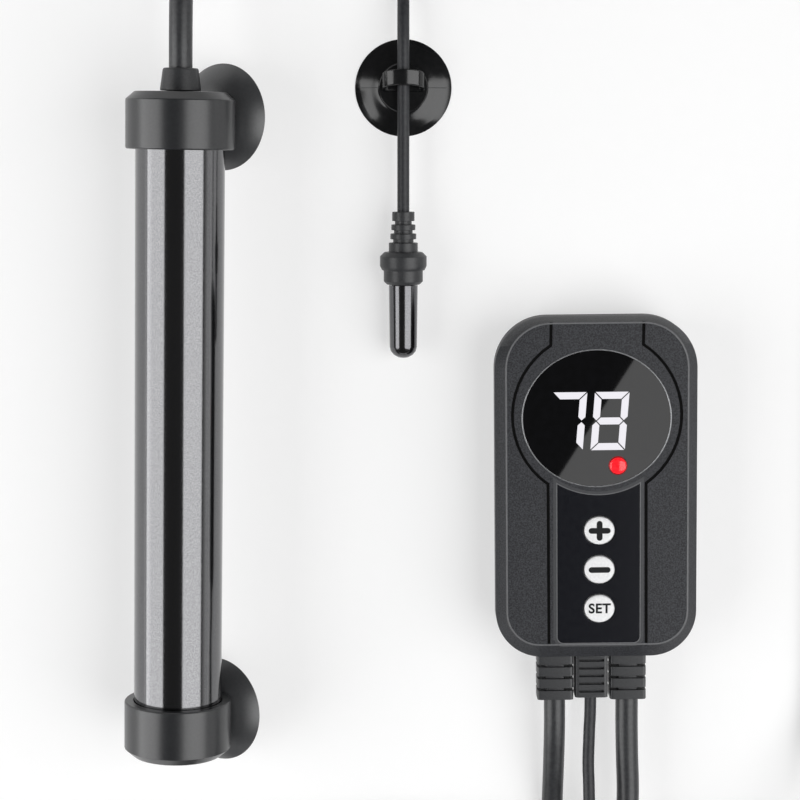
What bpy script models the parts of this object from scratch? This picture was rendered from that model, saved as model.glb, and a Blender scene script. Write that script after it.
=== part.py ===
"""Submersible aquarium heater set: heater tube with two suction cups, water probe with its
clip-on suction cup, wired controller, and the three cords that join them, laid out on a table.

Frame: metres, +Z up from the table (z = 0), +Y towards the cord end of the heater, +X towards
the controller. Origin: centre of the laid-out units, without their cords, on the table.
"""

import math

import bmesh
import bpy
from mathutils import Vector

# ---------------------------------------------------------------- driving dimensions (metres)

FIT = 0.0003                    # running clearance between pieces that touch
CAP_STEPS = 40                  # facets round the heater tube and its caps
ROUND_STEPS = 28                # round a cup or another turned piece
FINE_STEPS = 20                 # round a small turned piece
SMALL_STEPS = 12                # round a screw, a boss or a hidden part
THROUGH = 0.001                 # how far a cutter runs past the face that it opens

# Heater tube and its end caps
HEATER_X, HEATER_Y = -0.0756, -0.0053
HEATER_TURN = math.radians(-0.97)
HEATER_LENGTH = 0.2173          # over both end caps
TUBE_RADIUS = 0.0144
TUBE_WALL = 0.0008
TUBE_INSERT = 0.0047            # length of tube inside a cap
SEAL_THICKNESS = 0.0010
SEAL_BORE = 0.0126
CAP_RADIUS = 0.01755
CAP_HEIGHT = 0.0183
CAP_CHAMFER_RADIAL = 0.0029
CAP_CHAMFER_AXIAL = 0.0025
CAP_LIP = 0.0004                # small edge break at the open side
CAP_FLAT_DISTANCE = 0.0154      # axis to the flat that carries the suction cup

# Heater cord gland
GLAND_BASE_RADIUS = 0.00655
GLAND_TOP_RADIUS = 0.00575
GLAND_HEIGHT = 0.0075
GLAND_FOOT = 0.0012             # straight part above the cap, before the taper
GLAND_EDGE = 0.0004             # edge break round the cord
GLAND_STEM_RADIUS = 0.0045
GLAND_STEM_LENGTH = 0.0055

# Heating element
CORE_RADIUS = 0.0060
CORE_END_GAP = 0.0110           # core end to tube end
WIRE_SLEEVE_RADIUS = 0.0076
WIRE_RIB_DEPTH = 0.0005
WIRE_RIBS = 10                  # turns of resistance ribbon on the core
DISC_THICKNESS = 0.0016
DISC_FROM_CORE_END = 0.0040
CUTOUT_RADIUS = 0.0022
CUTOUT_LENGTH = 0.0070
TERMINAL_RADIUS = 0.0009
TERMINAL_LENGTH = 0.0075
TERMINAL_SPACING = 0.0060

# Heater suction cups
CUP_ROLL = math.radians(34.0)   # cup axis, turned from straight down towards +X
CUP_RADIUS = 0.0174
CUP_RIM_DISTANCE = 0.0219       # heater axis to the rim plane
CUP_RIM_EDGE = 0.0002
CUP_CROWN_RADIUS = 0.0058
CUP_FLARE = 1.45                # power of the bell's curve, 1 for a straight cone
CUP_LIP = 0.0006                # width of the rim's edge
CUP_CAVITY_DEPTH = 0.0035
CUP_STEM_RADIUS = 0.0017
CUP_BARB_RADIUS = 0.0021
CUP_STEM_LENGTH = 0.0050
CUP_BARB_LENGTH = 0.0013
CUP_SHIFT_Y = 0.0014            # cup axis from a cap's mid-height

# Water probe
PROBE_X, PROBE_TIP_Y = -0.00255, 0.0157
PROBE_FLANGE_RADIUS = 0.00775   # the flange lies on the table and sets the axis height
PROBE_FLANGE_START, PROBE_FLANGE_END = 0.0293, 0.0353
SHEATH_TOP_RADIUS = 0.0048
SHEATH_TIP_RADIUS = 0.00455
SHEATH_LENGTH = 0.0243
SHEATH_WALL = 0.0009
SHEATH_DOME = 0.0038            # length of the domed tip
SHEATH_TIP_WALL = 0.0015
COLLAR_RADIUS = 0.0065
COLLAR_EDGE = 0.0010
FLANGE_EDGE = 0.0014
RELIEF_PLUG_LENGTH = 0.0060
RELIEF_SHOULDER_RADIUS = 0.0048
RELIEF_SHOULDER_LENGTH = 0.0031
RELIEF_RING_RADIUS = 0.0043     # the ring next to the shoulder
RELIEF_RING_LENGTH, RELIEF_NECK_LENGTH = 0.0018, 0.0012
RELIEF_GROOVE_DEPTH = 0.0009
RELIEF_RINGS = 2
RELIEF_TAPER = 0.0003           # each ring is this much thinner than the last
RELIEF_TIP_LENGTH = 0.0030
THERMISTOR_START, THERMISTOR_LENGTH = 0.0040, 0.0036
THERMISTOR_RADIUS = 0.0012
THERMISTOR_LEAD_RADIUS = 0.0007
PROBE_AXIS_Z = PROBE_FLANGE_RADIUS

# Probe suction cup and its cord clip
PROBE_CUP_Y = 0.1050
PROBE_CUP_RADIUS = 0.0160
PROBE_CUP_HEIGHT = 0.0043
PROBE_CUP_CAVITY = 0.0026
PROBE_CUP_CROWN_RADIUS = 0.0078
PROBE_CUP_LIP = 0.0003
CLIP_HALF_WIDTH = 0.0070
CLIP_LENGTH = 0.0051
CLIP_WALL = 0.0013
CLIP_BASE = 0.0008
CLIP_TOP_GAP = 0.0003
CLIP_SHOULDER_DROP = 0.0006     # cord's axis to where the arch springs

# Controller housing
CONTROLLER_X, CONTROLLER_Y = 0.0612, -0.02625
CONTROLLER_TURN = math.radians(0.635)
HOUSING_HALF_WIDTH = 0.03335
HOUSING_HALF_LENGTH = 0.05695
HOUSING_HEIGHT = 0.0240
TOP_CORNER_RADIUS = 0.0174
BOTTOM_CORNER_RADIUS = 0.0153
PARTING_Z = 0.0120
PARTING_HALF_GAP = 0.0006
GASKET_HALF_THICKNESS = 0.0003
GASKET_INSET, GASKET_WIDTH = 0.0006, 0.0011
SHOULDER_Z = 0.0192             # where the straight wall turns into the broad bevel
BEVEL_SIDE, BEVEL_TOP, BEVEL_BOTTOM = 0.0033, 0.0016, 0.0049
BEVEL_EASE, BEVEL_TURN = 0.0007, 0.90   # height and start of the round at its upper edge
CAVITY_SHARE = 0.65             # the cavity follows the bevel this far up
WALL = 0.0020
FRONT_WALL = 0.0020
REAR_DRAFT = 0.0012
REAR_EDGE = 0.0008
REAR_WALL = 0.0024              # at the parting line, thinner towards the floor
BOSS_RADIUS = 0.0036            # round posts that the screws go through
SCREW_SIDE_INSET = 0.0088
SCREW_TOP_INSET, SCREW_BOTTOM_INSET = 0.0105, 0.0160
SCREW_RADIUS = 0.0013
SCREW_HEAD_RADIUS = 0.0026
SCREW_HEAD_HEIGHT = 0.0022
SCREW_HEAD_DEPTH = 0.0006       # head below the back face
SCREW_TOP_Z, SCREW_TIP = 0.0200, 0.0010

# Controller face
DIAL_X, DIAL_Y = -0.0001, 0.0247
DIAL_RADIUS = 0.0277            # centre line of the groove round the display
LENS_X, LENS_Y = -0.0002, 0.0238
LENS_HALF_WIDTH, LENS_HALF_HEIGHT = 0.0243, 0.0225
LENS_THICKNESS = 0.0012
LENS_LEDGE = 0.0014
SPINE_X = 0.0001
SPINE_TOP_HALF_WIDTH, SPINE_BOTTOM_HALF_WIDTH = 0.0151, 0.0161
GROOVE_WIDTH, GROOVE_DEPTH = 0.0010, 0.0007
KEYPAD_X = 0.0004
KEYPAD_HALF_WIDTH = 0.0136
KEYPAD_BOTTOM_Y = -0.0512
KEYPAD_TOP_RADIUS = 0.02635     # concave upper edge, struck from the dial's centre
KEYPAD_CORNER = 0.0020
KEYPAD_THICKNESS = 0.0010
BUTTON_X = 0.00065
BUTTON_FIRST_Y, BUTTON_PITCH = -0.0134, 0.0131
BUTTON_HALF_WIDTH, BUTTON_HALF_HEIGHT = 0.0050, 0.00465
BUTTON_PROUD = 0.0010
BUTTON_FLANGE = 0.0008          # how far the retaining flange stands out
BUTTON_FLANGE_THICKNESS = 0.0010
BUTTON_CROWN, BUTTON_CROWN_DROP = 0.0016, 0.0005     # width and height of the crowned edge
BUTTON_STEM_RADIUS = 0.0018
BUTTON_TRAVEL = 0.0008
LED_X, LED_Y, LED_RADIUS = 0.00677, 0.0081, 0.00284
LED_PROUD = 0.0008

# Controller electronics
BOARD_TOP_Z = 0.0158
BOARD_THICKNESS = 0.0016
BOARD_EDGE_GAP = 0.0004
MODULE_HALF_WIDTH, MODULE_HALF_HEIGHT = 0.0170, 0.0095
MODULE_Y_SHIFT = 0.0012
SWITCH_RADIUS, SWITCH_BODY = 0.0030, 0.0016
SWITCH_PLUNGER_RADIUS, SWITCH_PLUNGER = 0.0016, 0.0005
REAR_FLOOR = 0.0020
PART_FLOOR_GAP = 0.0006         # below the parts that hang from the board
RELAY_X, RELAY_GAP = -0.0165, 0.0040       # gap to the terminal block
RELAY_WIDTH, RELAY_LENGTH = 0.0150, 0.0190
TRANSFORMER_X, TRANSFORMER_Y, TRANSFORMER_SIDE = 0.0, 0.0170, 0.0220
CAPACITOR_X, CAPACITOR_Y, CAPACITOR_RADIUS = 0.0210, 0.0120, 0.0050
FUSE_X, FUSE_Y = 0.0210, -0.0220
FUSE_RADIUS, FUSE_LENGTH = 0.0026, 0.0200
TERMINALS_X, TERMINALS_INSET = -0.0010, 0.01495     # inset from the housing's lower end
TERMINALS_WIDTH, TERMINALS_DEPTH = 0.0300, 0.0080

# Cord glands of the controller
SIDE_GLAND_HALF_WIDTH = 0.00605
SIDE_GLAND_LENGTH = 0.01555
MIDDLE_GLAND_HALF_WIDTH = 0.0055
MIDDLE_GLAND_LENGTH = 0.01485
GLAND_HALF_TALL = 0.0048
GLAND_NECK_HALF_WIDTH = 0.0033
GLAND_NECK_HALF_TALL = 0.0040
GLAND_CORNER = 0.0012
GLAND_RIBS = 4
GLAND_SLOT = 0.0009
GLAND_INNER_FLANGE = 0.0012
GLAND_FLANGE_STEP = 0.0016
MIDDLE_GROOVES = 5
MIDDLE_RAIL = 0.0013            # width of the rails beside the grooves
MIDDLE_GROOVE_DEPTH, MIDDLE_GROOVE_START = 0.0012, 0.0016
MAINS_GLAND_X, SENSOR_GLAND_X, HEATER_GLAND_X = -0.0134, -0.0013, 0.01097

# Cords
MAINS_CORD_DIAMETER = 0.0072
HEATER_CORD_DIAMETER = 0.0076
SENSOR_CORD_DIAMETER = 0.0040
TURN_GAP = 0.00055              # between neighbouring turns of a coil
LOOP_POINTS = 24

# Mains plug, three flat-and-round pins
PLUG_X, PLUG_NOSE_Y = -0.0708, -0.1996
PLUG_AXIS_Z = 0.0115
PLUG_NOSE_LENGTH = 0.0120
PLUG_BODY_LENGTH = 0.0210
PLUG_HALF_WIDTH = 0.0130
PLUG_NOSE_RADIUS = 0.0060
PLUG_SHOULDER = 0.0120          # length over which the nose widens into the body
PLUG_EDGE = 0.0008
BLADE_LENGTH, BLADE_WIDTH, BLADE_THICKNESS = 0.0165, 0.0063, 0.0015
BLADE_SPACING = 0.0127
BLADE_RISE, EARTH_DROP = 0.0035, 0.0078
EARTH_PIN_RADIUS, EARTH_PIN_LENGTH = 0.0024, 0.0195
EARTH_PIN_DOME = 0.0022

# Worked out from the above
HALF_HEATER = HEATER_LENGTH / 2
CAP_SOCKET = TUBE_INSERT + SEAL_THICKNESS + 2 * FIT
TUBE_HALF = HALF_HEATER - CAP_HEIGHT + TUBE_INSERT
TUBE_BORE = TUBE_RADIUS - TUBE_WALL
HEATER_Z = ((CUP_RIM_DISTANCE - CUP_RIM_EDGE) * math.cos(CUP_ROLL)
            + CUP_RADIUS * math.sin(CUP_ROLL))
FACE_Z = HOUSING_HEIGHT
FRONT_CAVITY_Z = FACE_Z - FRONT_WALL
BOARD_BOTTOM_Z = BOARD_TOP_Z - BOARD_THICKNESS

for old in list(bpy.data.objects):
    bpy.data.objects.remove(old)


# ---------------------------------------------------------------- materials and object helpers

def finish(name, colour, roughness, metallic=0.0):
    """One Principled material."""
    material = bpy.data.materials.new(name)
    material.use_nodes = True
    shader = material.node_tree.nodes["Principled BSDF"]
    shader.inputs["Base Color"].default_value = (*colour, 1.0)
    shader.inputs["Roughness"].default_value = roughness
    shader.inputs["Metallic"].default_value = metallic
    material.diffuse_color = (*colour, 1.0)
    return material


def frame(name, location, rotation=(0.0, 0.0, 0.0), parent=None):
    """An empty that carries a unit or a moving piece."""
    empty = bpy.data.objects.new(name, None)
    empty.location = location
    empty.rotation_euler = rotation
    empty.parent = parent
    bpy.context.collection.objects.link(empty)
    return empty


def place(name, mesh, material, parent=None, location=(0, 0, 0), rotation=(0, 0, 0)):
    """Put a bmesh into the scene as one named object."""
    bmesh.ops.recalc_face_normals(mesh, faces=mesh.faces)
    data = bpy.data.meshes.new(name)
    mesh.to_mesh(data)
    mesh.free()
    piece = bpy.data.objects.new(name, data)
    piece.location = location
    piece.rotation_euler = rotation
    piece.parent = parent
    if material:
        data.materials.append(material)
    bpy.context.collection.objects.link(piece)
    data.shade_smooth()
    data.set_sharp_from_angle(angle=math.radians(35))
    return piece


def cutter(name, mesh, parent=None, location=(0, 0, 0), rotation=(0, 0, 0)):
    """A hidden tool body for a Boolean."""
    tool = place(name, mesh, None, parent, location, rotation)
    tool.hide_render = True
    tool.display_type = "WIRE"
    return tool


def cut(piece, *tools):
    for tool in tools:
        modifier = piece.modifiers.new("cut " + tool.name, "BOOLEAN")
        modifier.operation = "DIFFERENCE"
        modifier.object = tool


def join(piece, *tools):
    for tool in tools:
        modifier = piece.modifiers.new("join " + tool.name, "BOOLEAN")
        modifier.operation = "UNION"
        modifier.object = tool


# ---------------------------------------------------------------- shapes

def turned(profile, steps=ROUND_STEPS):
    """A solid of revolution about Z from (radius, height) points.

    A profile whose ends both lie on the axis makes a full body, any other profile is closed
    into a loop and makes a ring."""
    mesh = bmesh.new()
    points = [mesh.verts.new((radius, 0, height)) for radius, height in profile]
    edges = [mesh.edges.new(pair) for pair in zip(points, points[1:])]
    if profile[0][0] > 0 or profile[-1][0] > 0:
        edges.append(mesh.edges.new((points[-1], points[0])))
    bmesh.ops.spin(mesh, geom=points + edges, cent=(0, 0, 0), axis=(0, 0, 1),
                   angle=math.tau, steps=steps)
    bmesh.ops.remove_doubles(mesh, verts=mesh.verts, dist=1e-6)
    return mesh


def cylinder(radius, bottom, top, steps=FINE_STEPS):
    return turned([(0, bottom), (radius, bottom), (radius, top), (0, top)], steps)


def prism(outline, bottom, top, hole=None):
    """An outline in XY, with an optional hole, extruded along Z."""
    mesh = bmesh.new()
    edges = []
    for loop in [outline] + ([hole] if hole else []):
        points = [mesh.verts.new((x, y, bottom)) for x, y in loop]
        edges += [mesh.edges.new((points[i - 1], points[i])) for i in range(len(points))]
    bmesh.ops.triangle_fill(mesh, use_beauty=True, edges=edges)
    lid = bmesh.ops.extrude_face_region(mesh, geom=list(mesh.faces))
    raised = [item for item in lid["geom"] if isinstance(item, bmesh.types.BMVert)]
    bmesh.ops.translate(mesh, verts=raised, vec=(0, 0, top - bottom))
    return mesh


def dome(radius, length, steps=4):
    """Half an ellipse as (radius, height) points, from the tip to the full radius."""
    return [(radius * math.sin(math.pi / 2 * i / steps),
             length * (1 - math.cos(math.pi / 2 * i / steps))) for i in range(steps + 1)]


def loft(sections):
    """Outlines of equal point count at rising heights, skinned and capped."""
    mesh = bmesh.new()
    rings = [[mesh.verts.new((x, y, height)) for x, y in loop] for loop, height in sections]
    for lower, upper in zip(rings, rings[1:]):
        for i in range(len(lower)):
            mesh.faces.new((lower[i - 1], lower[i], upper[i], upper[i - 1]))
    mesh.faces.new(rings[0])
    mesh.faces.new(rings[-1])
    return mesh


def block(x, y, width, depth, bottom, top):
    """A box about (x, y), from bottom to top."""
    x0, x1, y0, y1 = x - width / 2, x + width / 2, y - depth / 2, y + depth / 2
    return prism([(x0, y0), (x1, y0), (x1, y1), (x0, y1)], bottom, top)


def blocks(boxes):
    """Several separate boxes in one mesh, each (x0, x1, y0, y1, z0, z1)."""
    mesh = bmesh.new()
    for x0, x1, y0, y1, z0, z1 in boxes:
        made = bmesh.ops.create_cube(mesh, size=1.0)["verts"]
        bmesh.ops.scale(mesh, verts=made, vec=(x1 - x0, y1 - y0, z1 - z0))
        bmesh.ops.translate(mesh, verts=made, vec=((x0 + x1) / 2, (y0 + y1) / 2, (z0 + z1) / 2))
    return mesh


def copies(make, places):
    """The same shape at several (x, y, z) places, as one mesh of separate bodies."""
    mesh = bmesh.new()
    for spot in places:
        one = make()
        bmesh.ops.translate(one, verts=one.verts, vec=spot)
        data = bpy.data.meshes.new("copy")
        one.to_mesh(data)
        one.free()
        mesh.from_mesh(data)
        bpy.data.meshes.remove(data)
    return mesh


def arc(x, y, radius, start, end, steps, radius_y=None):
    """Points on an arc, angles in degrees."""
    radius_y = radius if radius_y is None else radius_y
    angles = [math.radians(start + (end - start) * i / steps) for i in range(steps + 1)]
    return [(x + radius * math.cos(a), y + radius_y * math.sin(a)) for a in angles]


def ellipse(x, y, half_width, half_height, steps=40):
    return arc(x, y, half_width, 0, 360, steps, half_height)[:-1]


def housing_outline(side=0.0, top=0.0, bottom=0.0, corner_steps=6):
    """The controller's outline, drawn in by a different amount on its sides and ends."""
    half_width = HOUSING_HALF_WIDTH - side
    upper, lower = HOUSING_HALF_LENGTH - top, -HOUSING_HALF_LENGTH + bottom
    high = TOP_CORNER_RADIUS - (side + top) / 2
    low = BOTTOM_CORNER_RADIUS - (side + bottom) / 2
    return (arc(half_width - high, upper - high, high, 0, 90, corner_steps)
            + arc(high - half_width, upper - high, high, 90, 180, corner_steps)
            + arc(low - half_width, lower + low, low, 180, 270, corner_steps)
            + arc(half_width - low, lower + low, low, 270, 360, corner_steps))


def even_outline(inset):
    return housing_outline(inset, inset, inset)


def rounded_box(half_width, half_height, corner):
    """A rounded rectangle about the origin."""
    x, y = half_width - corner, half_height - corner
    return (arc(x, y, corner, 0, 90, 2) + arc(-x, y, corner, 90, 180, 2)
            + arc(-x, -y, corner, 180, 270, 2) + arc(x, -y, corner, 270, 360, 2))


# ---------------------------------------------------------------- cord helpers

def smooth_curve(points, per_span=16):
    """A smooth curve through hand-chosen points, as many short steps."""
    points = [Vector(p) for p in points]
    lengths = [(b - a).length for a, b in zip(points, points[1:])]
    slopes = [(points[1] - points[0]) / lengths[0]]
    for i in range(1, len(points) - 1):
        before = (points[i] - points[i - 1]) / lengths[i - 1]
        after = (points[i + 1] - points[i]) / lengths[i]
        slopes.append((before * lengths[i] + after * lengths[i - 1])
                      / (lengths[i - 1] + lengths[i]))
    slopes.append((points[-1] - points[-2]) / lengths[-1])
    curve = []
    for i, span in enumerate(lengths):
        for step in range(per_span):
            t = step / per_span
            curve.append(points[i] * (2 * t**3 - 3 * t**2 + 1)
                         + slopes[i] * span * (t**3 - 2 * t**2 + t)
                         + points[i + 1] * (3 * t**2 - 2 * t**3)
                         + slopes[i + 1] * span * (t**3 - t**2))
    return curve + [points[-1]]


def spaced(curve, diameter, bend=math.radians(13), longest=9):
    """Fewer points: one where the curve has turned by bend, or after longest diameters, and one
    near each end, so that the cord meets its neighbour straight. None is closer than two
    diameters to the next."""
    closest = 2 * diameter
    kept = [curve[0]]
    run, heading = 0.0, (curve[1] - curve[0]).normalized()
    for before, point in zip(curve, curve[1:]):
        run += (point - before).length
        direction = (point - before).normalized()
        bent = direction.angle(heading) > bend or len(kept) == 1
        if run >= longest * diameter or (run >= closest and bent):
            kept.append(point)
            run, heading = 0.0, direction
    last = [point for point in curve if (point - curve[-1]).length >= closest][-1]
    while (kept[-1] - last).length < closest and len(kept) > 2:
        kept.pop()
    return kept + [last, curve[-1]]


def tube(name, points, diameter, material, resolution):
    """A round cord along a path, with flat ends."""
    data = bpy.data.curves.new(name, "CURVE")
    data.dimensions = "3D"
    data.bevel_depth = diameter / 2
    data.bevel_resolution = resolution
    data.use_fill_caps = True
    spline = data.splines.new("POLY")
    spline.points.add(len(points) - 1)
    for target, point in zip(spline.points, points):
        target.co = (*point, 1.0)
    data.materials.append(material)
    piece = bpy.data.objects.new(name, data)
    bpy.context.collection.objects.link(piece)
    return piece


def coil_path(centre, outer, diameter, layers, turns, start):
    """A clockwise coil, wound in and out again layer by layer, with a straight end each way.

    outer is the radius of the outermost turn's centre line, turns the total number, and start
    the angle in degrees where the cord comes in. The radius falls and rises steadily, and the
    cord climbs a layer in the half turn round each reversal."""
    pitch = diameter + TURN_GAP
    per_layer = turns / layers
    steps = round(turns * LOOP_POINTS)
    path = []
    for i in range(steps + 1):
        turned_by = turns * i / steps
        phase = (turned_by / per_layer) % 2
        radius = outer - pitch * per_layer * (phase if phase < 1 else 2 - phase)
        level = 0.0
        for reversal in range(1, layers):
            rise = (turned_by - reversal * per_layer + 0.25) / 0.5
            level += min(max(rise, 0.0), 1.0)
        angle = math.radians(start) - math.tau * turned_by
        path.append(Vector((centre[0] + radius * math.cos(angle),
                            centre[1] + radius * math.sin(angle),
                            diameter / 2 + pitch * level)))
    first, last = math.radians(start), math.radians(start) - math.tau * turns
    into = Vector((math.sin(first), -math.cos(first), 0))
    out = Vector((math.sin(last), -math.cos(last), 0))
    return [path[0] - into * diameter] + path + [path[-1] + out * diameter]


def least_gap(path, diameter):
    """The least gap between one turn and another, measured between the path's points."""
    fine = []
    for a, b in zip(path, path[1:]):
        fine += [a.lerp(b, i / 4) for i in range(4)]
    apart = 3 * LOOP_POINTS         # three quarters of a turn, in quarter steps
    closest = min((fine[i] - fine[j]).length
                  for i in range(len(fine)) for j in range(i + apart, len(fine)))
    return closest - diameter


# ---------------------------------------------------------------- finishes

titanium_black = finish("black coated titanium", (0.020, 0.020, 0.021), 0.22, 0.85)
cap_plastic = finish("satin black polypropylene", (0.022, 0.023, 0.025), 0.38)
soft_rubber = finish("black soft rubber", (0.012, 0.012, 0.013), 0.30)
cord_rubber = finish("black cord jacket", (0.035, 0.036, 0.038), 0.45)
seal_rubber = finish("seal rubber", (0.05, 0.05, 0.05), 0.6)
ceramic = finish("white ceramic", (0.75, 0.73, 0.68), 0.5)
resistance_alloy = finish("resistance alloy", (0.35, 0.30, 0.26), 0.4, 1.0)
bright_metal = finish("plated steel", (0.62, 0.61, 0.58), 0.28, 1.0)
housing_plastic = finish("grained charcoal ABS", (0.050, 0.051, 0.054), 0.5)
gloss_black = finish("gloss black panel", (0.006, 0.006, 0.007), 0.12)
button_white = finish("white button plastic", (0.85, 0.85, 0.85), 0.35)
lamp_red = finish("red lamp lens", (0.80, 0.01, 0.02), 0.15)
board_green = finish("circuit board", (0.02, 0.14, 0.07), 0.5)
relay_blue = finish("relay case", (0.02, 0.10, 0.35), 0.4)
part_black = finish("moulded component", (0.02, 0.02, 0.02), 0.5)
glass_clear = finish("fuse glass", (0.6, 0.65, 0.65), 0.1)

# ---------------------------------------------------------------- heater tube unit

heater_unit = frame("heater_unit", (HEATER_X, HEATER_Y, HEATER_Z), (0, 0, HEATER_TURN))
TOWARDS_CORD = (-math.pi / 2, 0, 0)     # a turned piece's Z laid along +Y
AWAY_FROM_CORD = (math.pi / 2, 0, 0)    # and along -Y

place("heater_tube", turned([(TUBE_BORE, -TUBE_HALF), (TUBE_RADIUS, -TUBE_HALF),
                             (TUBE_RADIUS, TUBE_HALF), (TUBE_BORE, TUBE_HALF)], CAP_STEPS),
      titanium_black, heater_unit, rotation=TOWARDS_CORD)


def cap_body():
    """An end cap, open side down: socket for the tube, straight wall, broad outer chamfer."""
    socket = TUBE_RADIUS + FIT
    return turned([(0, CAP_SOCKET), (socket, CAP_SOCKET), (socket, 0),
                   (CAP_RADIUS - CAP_LIP, 0), (CAP_RADIUS, CAP_LIP),
                   (CAP_RADIUS, CAP_HEIGHT - CAP_CHAMFER_AXIAL),
                   (CAP_RADIUS - CAP_CHAMFER_RADIAL, CAP_HEIGHT), (0, CAP_HEIGHT)], CAP_STEPS)


def bell(crown_radius, crown, rim_radius, rim, flare, steps=5):
    """The outer skin of a suction cup, from its crown out to its rim."""
    shares = [i / steps for i in range(steps + 1)]
    return [(crown_radius + (rim_radius - crown_radius) * share,
             crown + (rim - crown) * share ** flare) for share in shares]


def hollow(radius, rim, depth, steps=4):
    """The inside of a suction cup, from its rim in to the middle, as a shallow parabola."""
    shares = [1 - i / steps for i in range(steps + 1)]
    return [(radius * share, rim - depth * (1 - share ** 2)) for share in shares]


def suction_cup_body():
    """A bell-shaped cup on a barbed stem, opening along +Z, measured from the heater axis."""
    crown = CAP_FLAT_DISTANCE + FIT
    stem_end = crown - CUP_STEM_LENGTH
    barb = stem_end + CUP_BARB_LENGTH
    rim = CUP_RIM_DISTANCE
    return turned([(0, stem_end), (CUP_STEM_RADIUS, stem_end), (CUP_BARB_RADIUS, barb),
                   (CUP_STEM_RADIUS, barb + CUP_RIM_EDGE), (CUP_STEM_RADIUS, crown)]
                  + bell(CUP_CROWN_RADIUS, crown, CUP_RADIUS, rim - CUP_RIM_EDGE, CUP_FLARE)
                  + [(CUP_RADIUS - 2 * CUP_RIM_EDGE, rim)]
                  + hollow(CUP_RADIUS - CUP_LIP, rim, CUP_CAVITY_DEPTH))


for end, side, lie in (("top", 1, TOWARDS_CORD), ("bottom", -1, AWAY_FROM_CORD)):
    cap = place(f"{end}_end_cap", cap_body(), cap_plastic, heater_unit,
                (0, side * (HALF_HEATER - CAP_HEIGHT), 0), lie)
    cup_y = side * (HALF_HEATER - CAP_HEIGHT / 2) + CUP_SHIFT_Y
    cup_frame = frame(f"{end}_cup_frame", (0, cup_y, 0), (0, math.pi - CUP_ROLL, 0), heater_unit)
    flat = cutter(f"{end}_cap_flat", block(0, 0, 2 * CAP_RADIUS, 2 * CAP_HEIGHT,
                                           CAP_FLAT_DISTANCE, CAP_RADIUS + THROUGH), cup_frame)
    socket = cutter(f"{end}_stem_socket",
                    cylinder(CUP_BARB_RADIUS + FIT, CAP_FLAT_DISTANCE - CUP_STEM_LENGTH - FIT,
                             CAP_FLAT_DISTANCE + THROUGH), cup_frame)
    cut(cap, flat, socket)
    if side > 0:
        cut(cap, cutter("gland_socket",
                        cylinder(GLAND_STEM_RADIUS + FIT, CAP_HEIGHT - GLAND_STEM_LENGTH - FIT,
                                 CAP_HEIGHT + THROUGH), heater_unit,
                        (0, HALF_HEATER - CAP_HEIGHT, 0), lie))
    place(f"{end}_suction_cup", suction_cup_body(), soft_rubber, cup_frame)
    seal_start = TUBE_HALF + FIT
    seal_end = seal_start + SEAL_THICKNESS
    place(f"{end}_tube_seal", turned([(SEAL_BORE, seal_start), (TUBE_RADIUS, seal_start),
                                      (TUBE_RADIUS, seal_end), (SEAL_BORE, seal_end)],
                                     FINE_STEPS), seal_rubber, heater_unit, rotation=lie)

place("heater_cord_gland", turned([
    (0, HALF_HEATER - GLAND_STEM_LENGTH),
    (GLAND_STEM_RADIUS, HALF_HEATER - GLAND_STEM_LENGTH),
    (GLAND_STEM_RADIUS, HALF_HEATER + FIT),
    (GLAND_BASE_RADIUS, HALF_HEATER + FIT),
    (GLAND_BASE_RADIUS, HALF_HEATER + GLAND_FOOT),
    (GLAND_TOP_RADIUS, HALF_HEATER + GLAND_HEIGHT - GLAND_EDGE),
    (GLAND_TOP_RADIUS - GLAND_EDGE, HALF_HEATER + GLAND_HEIGHT),
    (0, HALF_HEATER + GLAND_HEIGHT)], FINE_STEPS), cord_rubber, heater_unit,
    rotation=TOWARDS_CORD)

# The element: a ceramic core carried by two ceramic discs, with the wound section between.
core_half = TUBE_HALF - CORE_END_GAP
disc_height = core_half - DISC_FROM_CORE_END
disc_inner, disc_outer = CORE_RADIUS + FIT, TUBE_BORE - FIT
for name, middle in (("insulator_disc_top", disc_height), ("insulator_disc_bottom", -disc_height)):
    low, high = middle - DISC_THICKNESS / 2, middle + DISC_THICKNESS / 2
    place(name, turned([(disc_inner, low), (disc_outer, low), (disc_outer, high),
                        (disc_inner, high)], FINE_STEPS),
          ceramic, heater_unit, rotation=TOWARDS_CORD)


def wound_section(start, end):
    """Resistance ribbon on the core, drawn as a sleeve with one rib a turn."""
    inner, low, high = CORE_RADIUS + FIT, WIRE_SLEEVE_RADIUS - WIRE_RIB_DEPTH, WIRE_SLEEVE_RADIUS
    turn = (end - start) / WIRE_RIBS
    ribbon = []
    for i in range(WIRE_RIBS):
        at = start + i * turn
        ribbon += [(low, at), (low, at + 0.3 * turn), (high, at + 0.4 * turn),
                   (high, at + 0.9 * turn)]
    return turned([(inner, start)] + ribbon + [(low, end), (inner, end)], SMALL_STEPS)


place("element_core", cylinder(CORE_RADIUS, -core_half, core_half), ceramic, heater_unit,
      rotation=TOWARDS_CORD)
wire_end = disc_height - DISC_THICKNESS / 2 - FIT
place("heating_wire", wound_section(-wire_end, wire_end), resistance_alloy,
      heater_unit, rotation=TOWARDS_CORD)
above_disc = disc_height + DISC_THICKNESS / 2 + FIT
place("thermal_cutout", cylinder(CUTOUT_RADIUS, above_disc, above_disc + CUTOUT_LENGTH,
                                 SMALL_STEPS),
      bright_metal, heater_unit, (CORE_RADIUS + FIT + CUTOUT_RADIUS, 0, 0), TOWARDS_CORD)
for number, x in ((1, -TERMINAL_SPACING / 2), (2, TERMINAL_SPACING / 2)):
    place(f"lead_terminal_{number}",
          cylinder(TERMINAL_RADIUS, core_half + FIT, core_half + FIT + TERMINAL_LENGTH,
                   SMALL_STEPS),
          bright_metal, heater_unit, (x, 0, 0), TOWARDS_CORD)

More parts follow.
